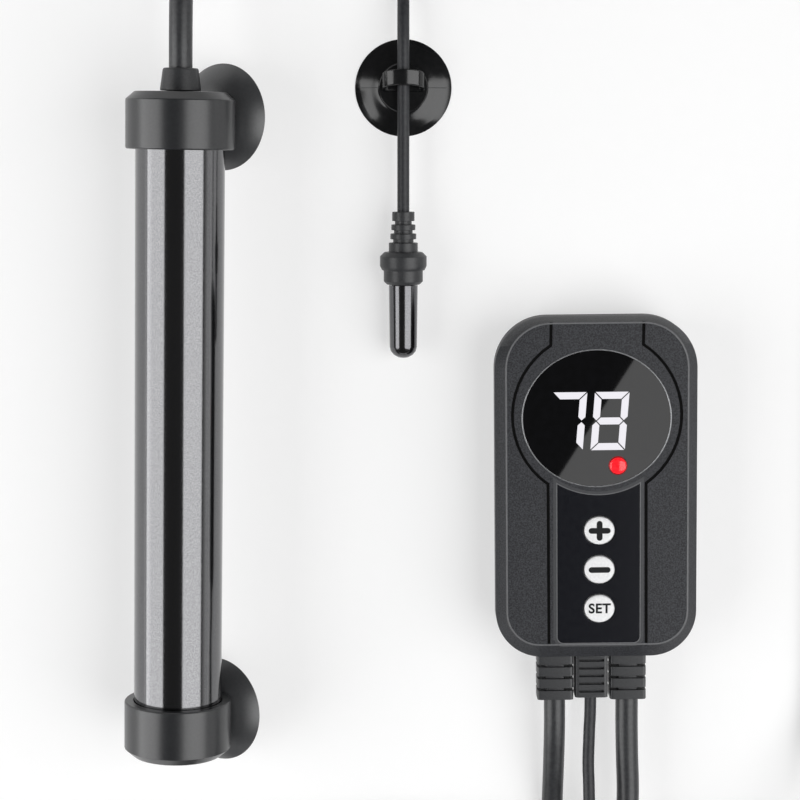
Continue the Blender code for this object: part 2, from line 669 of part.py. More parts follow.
# ---------------------------------------------------------------- water probe unit

probe_unit = frame("probe_unit", (PROBE_X, PROBE_TIP_Y, PROBE_AXIS_Z))
sheath_bore = SHEATH_TOP_RADIUS - SHEATH_WALL
plug_bottom = SHEATH_LENGTH - RELIEF_PLUG_LENGTH

bore_dome = [(radius, SHEATH_TIP_WALL + height)
             for radius, height in dome(sheath_bore - FIT, SHEATH_DOME - SHEATH_WALL)]
place("probe_sheath", turned(dome(SHEATH_TIP_RADIUS, SHEATH_DOME)
                             + [(SHEATH_TOP_RADIUS, SHEATH_LENGTH), (sheath_bore, SHEATH_LENGTH)]
                             + bore_dome[::-1]),
      titanium_black, probe_unit, rotation=TOWARDS_CORD)

# Moulded on the cord: plug in the sheath, lower collar, broad flange, then rings that taper.
collar_start = SHEATH_LENGTH + FIT
shoulder_end = PROBE_FLANGE_END + RELIEF_SHOULDER_LENGTH
relief_profile = [
    (0, plug_bottom), (sheath_bore - FIT, plug_bottom), (sheath_bore - FIT, collar_start),
    (COLLAR_RADIUS - COLLAR_EDGE, collar_start), (COLLAR_RADIUS, collar_start + COLLAR_EDGE),
    (COLLAR_RADIUS, PROBE_FLANGE_START),
    (PROBE_FLANGE_RADIUS - FLANGE_EDGE / 2, PROBE_FLANGE_START),
    (PROBE_FLANGE_RADIUS, PROBE_FLANGE_START + FLANGE_EDGE),
    (PROBE_FLANGE_RADIUS, PROBE_FLANGE_END - FLANGE_EDGE),
    (PROBE_FLANGE_RADIUS - FLANGE_EDGE, PROBE_FLANGE_END),
    (RELIEF_SHOULDER_RADIUS, PROBE_FLANGE_END), (RELIEF_SHOULDER_RADIUS, shoulder_end)]
at = shoulder_end
for ring in range(RELIEF_RINGS + 1):        # the last one is the tip that the cord leaves
    outer = RELIEF_RING_RADIUS - ring * RELIEF_TAPER
    inner = outer - RELIEF_GROOVE_DEPTH
    start = at + RELIEF_NECK_LENGTH
    at = start + (RELIEF_RING_LENGTH if ring < RELIEF_RINGS else RELIEF_TIP_LENGTH)
    relief_profile += [(inner, start - RELIEF_NECK_LENGTH), (inner, start), (outer, start),
                       (outer, at)]
place("probe_strain_relief", turned(relief_profile + [(0, at)], FINE_STEPS), cord_rubber,
      probe_unit, rotation=TOWARDS_CORD)
place("thermistor", turned([
    (0, THERMISTOR_START), (THERMISTOR_RADIUS, THERMISTOR_START + THERMISTOR_RADIUS),
    (THERMISTOR_RADIUS, THERMISTOR_START + THERMISTOR_LENGTH),
    (THERMISTOR_LEAD_RADIUS, THERMISTOR_START + THERMISTOR_LENGTH),
    (THERMISTOR_LEAD_RADIUS, plug_bottom - FIT), (0, plug_bottom - FIT)], SMALL_STEPS),
    part_black, probe_unit, rotation=TOWARDS_CORD)

# Its suction cup slides along the cord, so the cup's frame sits on the cord's axis.
probe_cup_frame = frame("probe_cup_frame", (PROBE_X, PROBE_CUP_Y, PROBE_AXIS_Z))
table = -PROBE_AXIS_Z
cup_inside = hollow(PROBE_CUP_RADIUS - 2 * PROBE_CUP_LIP, table, -PROBE_CUP_CAVITY)
place("probe_suction_cup", turned(
    cup_inside[::-1]
    + [(PROBE_CUP_RADIUS - PROBE_CUP_LIP, table)]
    + bell(PROBE_CUP_CROWN_RADIUS, table + PROBE_CUP_HEIGHT, PROBE_CUP_RADIUS,
           table + PROBE_CUP_LIP, 1.0)[::-1]
    + [(0, table + PROBE_CUP_HEIGHT)]), soft_rubber, probe_cup_frame)

clip_foot = table + PROBE_CUP_HEIGHT + FIT
clip_hole_top = SENSOR_CORD_DIAMETER / 2 + CLIP_TOP_GAP
clip_shoulder = -CLIP_SHOULDER_DROP


def clip_outline(inset, foot):
    """An arched loop in the XZ plane, drawn in by inset."""
    half = CLIP_HALF_WIDTH - inset
    rise = clip_hole_top + CLIP_WALL - inset - clip_shoulder
    crown = arc(0, clip_shoulder, half, 0, 180, 16, rise)
    return [(half, foot)] + crown + [(-half, foot)]


place("probe_cord_clip", prism(clip_outline(0, clip_foot), -CLIP_LENGTH / 2, CLIP_LENGTH / 2,
                               clip_outline(CLIP_WALL, clip_foot + CLIP_BASE)),
      soft_rubber, probe_cup_frame, rotation=(math.pi / 2, 0, 0))

# ---------------------------------------------------------------- controller unit

controller = frame("controller_unit", (CONTROLLER_X, CONTROLLER_Y, 0), (0, 0, CONTROLLER_TURN))
front_bottom = PARTING_Z + PARTING_HALF_GAP
rear_top = PARTING_Z - PARTING_HALF_GAP
screw_places = [(side * (HOUSING_HALF_WIDTH - SCREW_SIDE_INSET), y, 0)
                for y in (HOUSING_HALF_LENGTH - SCREW_TOP_INSET,
                          SCREW_BOTTOM_INSET - HOUSING_HALF_LENGTH) for side in (-1, 1)]
glands = (("mains_cord_gland", MAINS_GLAND_X), ("sensor_cord_gland", SENSOR_GLAND_X),
          ("heater_lead_gland", HEATER_GLAND_X))
neck_slots = cutter("neck_slots", blocks([
    (x - GLAND_NECK_HALF_WIDTH - FIT, x + GLAND_NECK_HALF_WIDTH + FIT,
     -HOUSING_HALF_LENGTH - THROUGH, -HOUSING_HALF_LENGTH + REAR_WALL + THROUGH / 2,
     PARTING_Z - GLAND_NECK_HALF_TALL - FIT, PARTING_Z + GLAND_NECK_HALF_TALL + FIT)
    for _, x in glands]), controller)


def bevelled(depth, share):
    """The outline part of the way down the broad bevel: share 0 at the wall, 1 at the face."""
    return (housing_outline(BEVEL_SIDE * share, BEVEL_TOP * share, BEVEL_BOTTOM * share), depth)


def keypad_outline(grow=0.0):
    """Straight sides, rounded lower corners and an upper edge hollowed round the display."""
    half = KEYPAD_HALF_WIDTH + grow
    bottom = KEYPAD_BOTTOM_Y - grow
    radius = KEYPAD_TOP_RADIUS - grow
    corner = KEYPAD_CORNER + grow
    spread = math.degrees(math.asin(half / radius))
    top = arc(KEYPAD_X, DIAL_Y, radius, -90 - spread, -90 + spread, 12)
    return (arc(KEYPAD_X + half - corner, bottom + corner, corner, 0, -90, 5)
            + arc(KEYPAD_X - half + corner, bottom + corner, corner, -90, -180, 5) + top)


def groove_strip(side):
    """One half of the groove that outlines the spine and swings round the display."""
    def edge(shift):
        top, low = SPINE_TOP_HALF_WIDTH + shift, SPINE_BOTTOM_HALF_WIDTH + shift
        radius = DIAL_RADIUS + shift
        start, end = math.degrees(math.acos(top / radius)), -math.degrees(math.acos(low / radius))
        swing = arc(0, 0, radius, start, end, 16)
        return ([(SPINE_X + side * top, HOUSING_HALF_LENGTH + THROUGH)]
                + [(DIAL_X + side * x, DIAL_Y + y) for x, y in swing]
                + [(SPINE_X + side * low, -HOUSING_HALF_LENGTH - THROUGH)])
    outer, inner = edge(GROOVE_WIDTH / 2), edge(-GROOVE_WIDTH / 2)
    return prism(outer + inner[::-1], FACE_Z - GROOVE_DEPTH, FACE_Z + THROUGH)


front_cover = place("front_cover", loft([
    (housing_outline(), front_bottom),
    bevelled(SHOULDER_Z, 0.0),
    bevelled(FACE_Z - BEVEL_EASE, BEVEL_TURN),
    bevelled(FACE_Z, 1.0)]), housing_plastic, controller)
button_places = [(BUTTON_X, BUTTON_FIRST_Y - i * BUTTON_PITCH) for i in range(3)]


def button_ellipse(grow):
    return ellipse(0, 0, BUTTON_HALF_WIDTH + grow, BUTTON_HALF_HEIGHT + grow, 24)


lens_floor = FACE_Z - LENS_THICKNESS - FIT
cut(front_cover, cutter("front_cavity", loft([
    (even_outline(WALL), front_bottom - THROUGH),
    (even_outline(WALL), SHOULDER_Z - WALL / 2),
    (housing_outline(WALL + BEVEL_SIDE * CAVITY_SHARE, WALL + BEVEL_TOP * CAVITY_SHARE,
                     WALL + BEVEL_BOTTOM * CAVITY_SHARE), FRONT_CAVITY_Z)]), controller))
join(front_cover, cutter("front_bosses", copies(
    lambda: cylinder(BOSS_RADIUS, front_bottom, FRONT_CAVITY_Z + FRONT_WALL / 2, SMALL_STEPS),
    screw_places), controller))
cut(front_cover,
    cutter("lens_recess", prism(ellipse(LENS_X, LENS_Y, LENS_HALF_WIDTH + FIT,
                                        LENS_HALF_HEIGHT + FIT), lens_floor, FACE_Z + THROUGH),
           controller),
    cutter("lens_window", prism(ellipse(LENS_X, LENS_Y, LENS_HALF_WIDTH - LENS_LEDGE,
                                        LENS_HALF_HEIGHT - LENS_LEDGE),
                                FRONT_CAVITY_Z - THROUGH, FACE_Z), controller),
    cutter("keypad_recess", prism(keypad_outline(FIT), FACE_Z - KEYPAD_THICKNESS - FIT,
                                  FACE_Z + THROUGH), controller),
    cutter("button_wells", copies(lambda: prism(button_ellipse(2 * FIT), FRONT_CAVITY_Z - THROUGH,
                                                FACE_Z),
                                  [(x, y, 0) for x, y in button_places]), controller),
    cutter("groove_left", groove_strip(-1), controller),
    cutter("groove_right", groove_strip(1), controller),
    cutter("front_screw_holes", copies(
        lambda: cylinder(SCREW_RADIUS + FIT, front_bottom - THROUGH, SCREW_TOP_Z + FIT,
                         SMALL_STEPS),
        screw_places), controller),
    neck_slots)

rear_cover = place("rear_cover", loft([
    (even_outline(REAR_DRAFT + REAR_EDGE), 0.0), (even_outline(REAR_DRAFT), REAR_EDGE),
    (housing_outline(), rear_top)]), housing_plastic, controller)
cut(rear_cover, cutter("rear_cavity", prism(even_outline(REAR_WALL), REAR_FLOOR,
                                            rear_top + THROUGH), controller))
join(rear_cover, cutter("rear_bosses", copies(
    lambda: cylinder(BOSS_RADIUS, REAR_FLOOR / 2, rear_top, SMALL_STEPS), screw_places),
    controller))
cut(rear_cover,
    cutter("rear_screw_holes", copies(lambda: turned([
        (0, -THROUGH), (SCREW_HEAD_RADIUS + FIT, -THROUGH),
        (SCREW_HEAD_RADIUS + FIT, SCREW_HEAD_DEPTH + SCREW_HEAD_HEIGHT + FIT),
        (SCREW_RADIUS + FIT, SCREW_HEAD_DEPTH + SCREW_HEAD_HEIGHT + FIT),
        (SCREW_RADIUS + FIT, rear_top + THROUGH), (0, rear_top + THROUGH)], SMALL_STEPS),
        screw_places), controller),
    neck_slots)

gasket = place("cover_gasket", prism(even_outline(GASKET_INSET),
                                     PARTING_Z - GASKET_HALF_THICKNESS,
                                     PARTING_Z + GASKET_HALF_THICKNESS,
                                     even_outline(GASKET_INSET + GASKET_WIDTH)),
               seal_rubber, controller)
cut(gasket, cutter("gasket_gap", block(      # the seal stops either side of the three glands
    (MAINS_GLAND_X + HEATER_GLAND_X) / 2, -HOUSING_HALF_LENGTH,
    HEATER_GLAND_X - MAINS_GLAND_X + 2 * (GLAND_NECK_HALF_WIDTH + FIT), 2 * (WALL + THROUGH),
    PARTING_Z - THROUGH, PARTING_Z + THROUGH), controller))

for number, spot in enumerate(screw_places, 1):
    place(f"housing_screw_{number}", turned([
        (0, SCREW_HEAD_DEPTH), (SCREW_HEAD_RADIUS, SCREW_HEAD_DEPTH),
        (SCREW_HEAD_RADIUS, SCREW_HEAD_DEPTH + SCREW_HEAD_HEIGHT),
        (SCREW_RADIUS, SCREW_HEAD_DEPTH + SCREW_HEAD_HEIGHT),
        (SCREW_RADIUS, SCREW_TOP_Z - SCREW_TIP), (0, SCREW_TOP_Z)], SMALL_STEPS),
        bright_metal, controller, spot)

lens = place("display_lens", prism(ellipse(LENS_X, LENS_Y, LENS_HALF_WIDTH, LENS_HALF_HEIGHT),
                                   FACE_Z - LENS_THICKNESS, FACE_Z), gloss_black, controller)
cut(lens, cutter("lamp_hole", cylinder(LED_RADIUS + FIT, FACE_Z - LENS_THICKNESS - THROUGH,
                                       FACE_Z + THROUGH), controller, (LED_X, LED_Y, 0)))

keypad = place("keypad_panel", prism(keypad_outline(), FACE_Z - KEYPAD_THICKNESS, FACE_Z),
               gloss_black, controller)
cut(keypad, cutter("keypad_holes", copies(
    lambda: prism(button_ellipse(FIT), FACE_Z - KEYPAD_THICKNESS - THROUGH, FACE_Z + THROUGH),
    [(x, y, 0) for x, y in button_places]), controller))

flange_top = FRONT_CAVITY_Z - FIT
on_board, under_board = BOARD_TOP_Z + FIT, BOARD_BOTTOM_Z - FIT
switch_top = on_board + SWITCH_BODY + SWITCH_PLUNGER
stem_bottom = switch_top + BUTTON_TRAVEL + FIT / 2
button_crown = [(button_ellipse(out - BUTTON_CROWN), FACE_Z + BUTTON_PROUD - drop)
                for out, drop in dome(BUTTON_CROWN, BUTTON_CROWN_DROP, 2)[::-1]]
for (x, y), name in zip(button_places, ("button_plus", "button_minus", "button_set")):
    button_frame = frame(name + "_frame", (x, y, 0), parent=controller)
    button = place(name, loft([
        (button_ellipse(2 * FIT + BUTTON_FLANGE), flange_top - BUTTON_FLANGE_THICKNESS),
        (button_ellipse(2 * FIT + BUTTON_FLANGE), flange_top),
        (button_ellipse(0.0), flange_top)] + button_crown), button_white, button_frame)
    join(button, cutter(name + "_stem", cylinder(
        BUTTON_STEM_RADIUS, stem_bottom, flange_top - BUTTON_FLANGE_THICKNESS / 2, SMALL_STEPS),
        button_frame))

# Electronics: the board sits between the covers' walls and carries everything else.
edge = WALL + BOARD_EDGE_GAP
board = place("circuit_board", prism(
    housing_outline(edge, edge, REAR_WALL + GLAND_INNER_FLANGE + 3 * FIT),
    BOARD_BOTTOM_Z, BOARD_TOP_Z), board_green, controller)
cut(board, cutter("board_notches", copies(
    lambda: cylinder(BOSS_RADIUS + BOARD_EDGE_GAP, BOARD_BOTTOM_Z - THROUGH,
                     BOARD_TOP_Z + THROUGH, SMALL_STEPS), screw_places), controller))
part_floor = REAR_FLOOR + PART_FLOOR_GAP
terminals_y = TERMINALS_INSET - HOUSING_HALF_LENGTH
relay_y = terminals_y + TERMINALS_DEPTH / 2 + RELAY_GAP + RELAY_LENGTH / 2
place("display_module", block(LENS_X, LENS_Y + MODULE_Y_SHIFT, 2 * MODULE_HALF_WIDTH,
                              2 * MODULE_HALF_HEIGHT, on_board, FACE_Z - LENS_THICKNESS - FIT),
      part_black, controller)
lamp_dome = [(radius, FACE_Z + LED_PROUD - drop)
             for radius, drop in dome(LED_RADIUS, 0.8 * LED_PROUD, 3)]
place("indicator_led", turned([(0, on_board), (LED_RADIUS, on_board)] + lamp_dome[::-1],
                              FINE_STEPS), lamp_red, controller, (LED_X, LED_Y, 0))


def tact_switch():
    """A round body with its plunger."""
    body_top = on_board + SWITCH_BODY
    return turned([(0, on_board), (SWITCH_RADIUS, on_board), (SWITCH_RADIUS, body_top),
                   (SWITCH_PLUNGER_RADIUS, body_top), (SWITCH_PLUNGER_RADIUS, switch_top),
                   (0, switch_top)], SMALL_STEPS)


for number, (x, y) in enumerate(button_places, 1):
    place(f"tact_switch_{number}", tact_switch(), part_black, controller, (x, y, 0))
for name, material, (x, y, width, depth) in (
        ("relay", relay_blue, (RELAY_X, relay_y, RELAY_WIDTH, RELAY_LENGTH)),
        ("power_transformer", part_black, (TRANSFORMER_X, TRANSFORMER_Y, TRANSFORMER_SIDE,
                                           TRANSFORMER_SIDE)),
        ("terminal_block", part_black, (TERMINALS_X, terminals_y, TERMINALS_WIDTH,
                                        TERMINALS_DEPTH))):
    place(name, block(x, y, width, depth, part_floor, under_board), material, controller)
place("filter_capacitor", cylinder(CAPACITOR_RADIUS, part_floor, under_board), part_black,
      controller, (CAPACITOR_X, CAPACITOR_Y, 0))
place("board_fuse", cylinder(FUSE_RADIUS, -FUSE_LENGTH / 2, FUSE_LENGTH / 2, SMALL_STEPS),
      glass_clear, controller, (FUSE_X, FUSE_Y, under_board - FUSE_RADIUS), TOWARDS_CORD)


def moulded_gland(half_width, length, ribs):
    """A flange inside the wall, a neck through it, then ribs right round the neck outside.

    It stands along +Z, with 0 at the housing's outer face."""
    neck = rounded_box(GLAND_NECK_HALF_WIDTH, GLAND_NECK_HALF_TALL, GLAND_CORNER)
    rib = rounded_box(half_width, GLAND_HALF_TALL, GLAND_CORNER)
    flange = rounded_box(GLAND_NECK_HALF_WIDTH + GLAND_FLANGE_STEP, GLAND_HALF_TALL, GLAND_CORNER)
    wall_in = -REAR_WALL - FIT
    sections = [(flange, wall_in - GLAND_INNER_FLANGE), (flange, wall_in), (neck, wall_in)]
    pitch = (length - FIT + GLAND_SLOT) / ribs
    for i in range(ribs):
        start = FIT + i * pitch
        end = start + pitch - GLAND_SLOT
        sections += [(neck, start), (rib, start), (rib, end)]
        if i < ribs - 1:
            sections.append((neck, end))
    return loft(sections)


for name, x in glands:
    middle = name == "sensor_cord_gland"
    shape = (moulded_gland(MIDDLE_GLAND_HALF_WIDTH, MIDDLE_GLAND_LENGTH, 1) if middle
             else moulded_gland(SIDE_GLAND_HALF_WIDTH, SIDE_GLAND_LENGTH, GLAND_RIBS))
    spot = (x, -HOUSING_HALF_LENGTH, PARTING_Z)
    gland = place(name, shape, cord_rubber, controller, spot, AWAY_FROM_CORD)
    if middle:
        across = MIDDLE_GLAND_HALF_WIDTH - MIDDLE_RAIL
        deep, past = GLAND_HALF_TALL - MIDDLE_GROOVE_DEPTH, GLAND_HALF_TALL + THROUGH
        pitch = (MIDDLE_GLAND_LENGTH - MIDDLE_GROOVE_START) / MIDDLE_GROOVES
        starts = [MIDDLE_GROOVE_START + i * pitch for i in range(MIDDLE_GROOVES)]
        cut(gland, cutter("sensor_gland_grooves", blocks(
            [(-across, across, min(sign * deep, sign * past), max(sign * deep, sign * past),
              start, start + GLAND_SLOT) for start in starts for sign in (-1, 1)]),
            controller, spot, AWAY_FROM_CORD))

# ---------------------------------------------------------------- cords
# Each cord leaves its gland straight, comes down to the table, and has its spare length in a
# coil. The points between are chosen by hand; the coil ends meet them one clearance apart.

MAINS_ROUTE = [(0.04861, -0.09935, 0.0120), (0.0487, -0.1086, 0.0118), (0.0487, -0.1216, 0.0095),
               (0.0486, -0.1366, 0.0057), (0.0485, -0.1496, 0.0039), (0.0484, -0.1616, 0.0036),
               (0.0484, -0.1736, 0.0036), (0.0484, -0.18515, 0.0036)]
MAINS_TAIL = [(-0.00730, -0.2408, 0.01135), (-0.0171, -0.2408, 0.01135), (-0.0306, -0.2407, 0.0090),
              (-0.0436, -0.2401, 0.0055), (-0.0566, -0.2358, 0.0047), (-0.0668, -0.2256, 0.0078),
              (-0.0706, -0.2146, 0.0111), (-0.0708, -0.2066, 0.0115), (-0.0708, -0.2000, 0.0115)]
HEATER_ROUTE = [(-0.07363, 0.11113, 0.02772), (-0.07345, 0.1229, 0.0277), (-0.0732, 0.1414, 0.0254),
                (-0.0731, 0.1604, 0.0195), (-0.0686, 0.1789, 0.0123), (-0.0554, 0.1924, 0.0063),
                (-0.0371, 0.1974, 0.0040), (-0.0186, 0.1977, 0.0038), (0.0294, 0.1974, 0.0038),
                (0.0694, 0.1974, 0.0038), (0.1074, 0.1974, 0.0038), (0.1254, 0.1926, 0.0038),
                (0.1386, 0.1794, 0.0038), (0.14335, 0.1614, 0.0038), (0.14350, 0.1334, 0.0038),
                (0.14355, 0.0734, 0.0038), (0.14355, 0.0034, 0.0038), (0.14355, -0.0666, 0.0038),
                (0.14355, -0.1266, 0.0038), (0.14355, -0.1666, 0.0038), (0.14355, -0.1810, 0.0038)]
HEATER_LEAD = [(0.06673, -0.16037, 0.01195), (0.0702, -0.1543, 0.0119), (0.0732, -0.1461, 0.0118),
               (0.0739, -0.1346, 0.0112), (0.0734, -0.1186, 0.0115), (0.07308, -0.1076, 0.0119),
               (0.07298, -0.09908, 0.0120)]
SENSOR_ROUTE = [(-0.00255, 0.0649, 0.00775), (-0.00255, 0.0784, 0.00775),
                (-0.00255, 0.0934, 0.00775), (-0.00255, 0.1094, 0.00775),
                (-0.00255, 0.1214, 0.00775), (-0.00255, 0.1334, 0.00560),
                (-0.00255, 0.1464, 0.00265), (-0.00255, 0.1534, 0.00205), (-0.00255, 0.1611, 0.0020)]
SENSOR_LEAD = [(0.03915, 0.18514, 0.01565), (0.0464, 0.18095, 0.0155), (0.0579, 0.1744, 0.0115),
               (0.0714, 0.1686, 0.0050), (0.0854, 0.1642, 0.00205), (0.0914, 0.1628, 0.0020),
               (0.1014, 0.1604, 0.0020), (0.1174, 0.1549, 0.0020), (0.1299, 0.1439, 0.0020),
               (0.1356, 0.1264, 0.0020), (0.1369, 0.1034, 0.0020), (0.13695, 0.0534, 0.0020),
               (0.13695, 0.0034, 0.0020), (0.13695, -0.0466, 0.0020), (0.13695, -0.0886, 0.0020),
               (0.13695, -0.0946, 0.00205), (0.1367, -0.1116, 0.0046), (0.1351, -0.1286, 0.0110),
               (0.1299, -0.1441, 0.0167), (0.1194, -0.1529, 0.0182), (0.1064, -0.1553, 0.0182),
               (0.0924, -0.1553, 0.0182), (0.0794, -0.1543, 0.0182), (0.0689, -0.1501, 0.0182),
               (0.0619, -0.1411, 0.0175), (0.0602, -0.1266, 0.0150), (0.0604, -0.1116, 0.0125),
               (0.0607, -0.1046, 0.0120), (0.0607, -0.09837, 0.0120)]

COILS = {   # name: centre, outer radius, diameter, layers, turns, angle where the cord comes in
    "mains_cord_coil": ((0.00025, -0.19265), 0.04815, MAINS_CORD_DIAMETER, 2, 5.25, 0),
    "heater_cord_coil": ((0.10025, -0.18890), 0.04330, HEATER_CORD_DIAMETER, 2, 2 + 7 / 12, 0),
    "sensor_cord_coil": ((0.02275, 0.16540), 0.02530, SENSOR_CORD_DIAMETER, 4, 5 + 1 / 3, 180),
}

for name, route, diameter, resolution in (
        ("mains_cord", MAINS_ROUTE, MAINS_CORD_DIAMETER, 3),
        ("mains_cord_tail", MAINS_TAIL, MAINS_CORD_DIAMETER, 3),
        ("heater_cord", HEATER_ROUTE, HEATER_CORD_DIAMETER, 3),
        ("heater_cord_lead", HEATER_LEAD, HEATER_CORD_DIAMETER, 3),
        ("sensor_cord", SENSOR_ROUTE, SENSOR_CORD_DIAMETER, 2),
        ("sensor_cord_lead", SENSOR_LEAD, SENSOR_CORD_DIAMETER, 2)):
    curve = smooth_curve(route)
    points = spaced(curve, diameter)
    length = sum((b - a).length for a, b in zip(curve, curve[1:]))
    print(f"{name}: {length:.4f} m, {len(points)} points")
    tube(name, points, diameter, cord_rubber, resolution)

for name, (centre, outer, diameter, layers, turns, start) in COILS.items():
    path = coil_path(centre, outer, diameter, layers, turns, start)
    length = sum((b - a).length for a, b in zip(path, path[1:]))
    print(f"{name}: {length:.4f} m, least gap {least_gap(path, diameter) * 1000:.2f} mm,"
          f" ends {tuple(round(v, 5) for v in path[0])} {tuple(round(v, 5) for v in path[-1])}")
    tube(name, path, diameter, cord_rubber, 1)

# ---------------------------------------------------------------- mains plug

plug_frame = frame("plug_frame", (PLUG_X, PLUG_NOSE_Y, PLUG_AXIS_Z), TOWARDS_CORD)


def plug_section(half_width, half_height, exponent=4, steps=24):
    """A rounded box section: a squircle, from round (exponent 2) to nearly square."""
    points = []
    for i in range(steps):
        angle = math.tau * i / steps
        c, s = math.cos(angle), math.sin(angle)
        scale = (abs(c) ** exponent + abs(s) ** exponent) ** (-1 / exponent)
        points.append((half_width * c * scale, half_height * s * scale))
    return points


body_end = PLUG_NOSE_LENGTH + PLUG_BODY_LENGTH
shoulder = [(plug_section(PLUG_NOSE_RADIUS + (PLUG_HALF_WIDTH - PLUG_NOSE_RADIUS) * share,
                          PLUG_NOSE_RADIUS + (PLUG_AXIS_Z - PLUG_NOSE_RADIUS) * share),
             PLUG_NOSE_LENGTH + along) for share, along in dome(1.0, PLUG_SHOULDER, 3)[1:]]
place("plug_body", loft(
    [(plug_section(PLUG_NOSE_RADIUS - PLUG_EDGE, PLUG_NOSE_RADIUS - PLUG_EDGE, 2), 0.0),
     (plug_section(PLUG_NOSE_RADIUS, PLUG_NOSE_RADIUS, 2), PLUG_NOSE_LENGTH)]
    + shoulder
    + [(plug_section(PLUG_HALF_WIDTH, PLUG_AXIS_Z), body_end - PLUG_EDGE),
       (plug_section(PLUG_HALF_WIDTH - PLUG_EDGE, PLUG_AXIS_Z - PLUG_EDGE), body_end)]),
    cord_rubber, plug_frame)
blade_start = body_end + FIT
for number, x in ((1, -BLADE_SPACING / 2), (2, BLADE_SPACING / 2)):
    place(f"plug_blade_{number}", block(x, -BLADE_RISE, BLADE_THICKNESS, BLADE_WIDTH, blade_start,
                                        blade_start + BLADE_LENGTH), bright_metal, plug_frame)
pin_end = blade_start + EARTH_PIN_LENGTH
pin_tip = [(radius, pin_end - drop) for radius, drop in dome(EARTH_PIN_RADIUS, EARTH_PIN_DOME, 3)]
place("plug_earth_pin", turned([(0, blade_start), (EARTH_PIN_RADIUS, blade_start)]
                               + pin_tip[::-1], SMALL_STEPS),
      bright_metal, plug_frame, (0, EARTH_DROP, 0))
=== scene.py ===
"""Submersible aquarium heater set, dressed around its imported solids: heater tube with suction
cups, water probe with a clip-on cup, wired controller, and the coiled cords that join them.

Everything lies on a pale table at z = 0. Lengths are metres, unless a name says mm.
"""

import math

import bmesh
import bpy
from mathutils import Matrix, Vector


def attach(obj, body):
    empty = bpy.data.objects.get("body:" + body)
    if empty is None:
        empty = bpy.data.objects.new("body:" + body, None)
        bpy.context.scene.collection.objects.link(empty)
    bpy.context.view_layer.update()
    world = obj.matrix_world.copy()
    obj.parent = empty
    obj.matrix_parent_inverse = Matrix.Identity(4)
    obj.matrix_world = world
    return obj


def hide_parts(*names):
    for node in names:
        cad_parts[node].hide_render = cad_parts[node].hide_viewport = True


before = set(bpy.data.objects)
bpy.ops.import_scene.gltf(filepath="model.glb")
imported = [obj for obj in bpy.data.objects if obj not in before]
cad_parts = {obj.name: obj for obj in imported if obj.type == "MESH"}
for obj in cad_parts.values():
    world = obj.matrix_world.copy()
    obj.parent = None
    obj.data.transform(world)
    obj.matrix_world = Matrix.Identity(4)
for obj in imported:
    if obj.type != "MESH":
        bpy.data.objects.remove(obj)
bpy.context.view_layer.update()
SET_BODY = "heater_set"         # the body that everything fixed rides on

# ---------------------------------------------------------------- camera
# The photograph looks down on the laid-out set, tilted a little so that the lower ends of the
# heater's caps show. A long lens keeps the outlines nearly parallel.

CAMERA_PLACE = Vector((-0.00365, 0.09185, 0.730))
CAMERA_TILT = math.radians(7.125)      # from straight down
LENS_MM, SENSOR_MM = 97.956, 36.0

camera_data = bpy.data.cameras.new("studio_camera")
camera_data.lens = LENS_MM
camera_data.sensor_width = SENSOR_MM
camera = bpy.data.objects.new("studio_camera", camera_data)
camera.location = CAMERA_PLACE
camera.rotation_euler = (-CAMERA_TILT, 0, 0)
bpy.context.scene.collection.objects.link(camera)
bpy.context.scene.camera = camera

# ---------------------------------------------------------------- cords
# Three round flexible cords with extruded black PVC jackets: mains, heater and probe. Each runs
# on the table from its moulded gland, with its spare length wound into one flat coil.

MAINS_CORD, HEATER_CORD, SENSOR_CORD = 0.0072, 0.0076, 0.0040      # diameters
MAINS_COIL, HEATER_COIL = (0.00025, -0.19265), (0.10025, -0.18890)      # middles of the coils
SENSOR_COIL = (0.02275, 0.16540)
TURN_GAP = 0.00055              # between neighbouring turns of a coil
LOOP_POINTS = 24
CLIMB = 0.5                     # of a turn, in which a coil rises to its next layer
MOTTLE = (0.35, 0.65)           # the stretch of the noise that goes from dark to pale
WELD = 1e-6                     # vertices closer than this become one
FLAT_WITHIN = math.radians(0.6)     # faces closer than this to one plane become one


def linear(code):
    """An sRGB hex colour as the linear values that a shader takes."""
    parts = [int(code[i:i + 2], 16) / 255 for i in (1, 3, 5)]
    return [c / 12.92 if c <= 0.04045 else ((c + 0.055) / 1.055) ** 2.4 for c in parts] + [1.0]


def add_node(owner, kind, sockets, **settings):
    """Add a shader node to a material or the world.

    sockets gives each input its value, or the output that feeds it."""
    node = owner.node_tree.nodes.new(kind)
    for name, value in settings.items():
        setattr(node, name, value)
    for name, value in sockets.items():
        if isinstance(value, bpy.types.NodeSocket):
            owner.node_tree.links.new(value, node.inputs[name])
        else:
            node.inputs[name].default_value = value
    return node


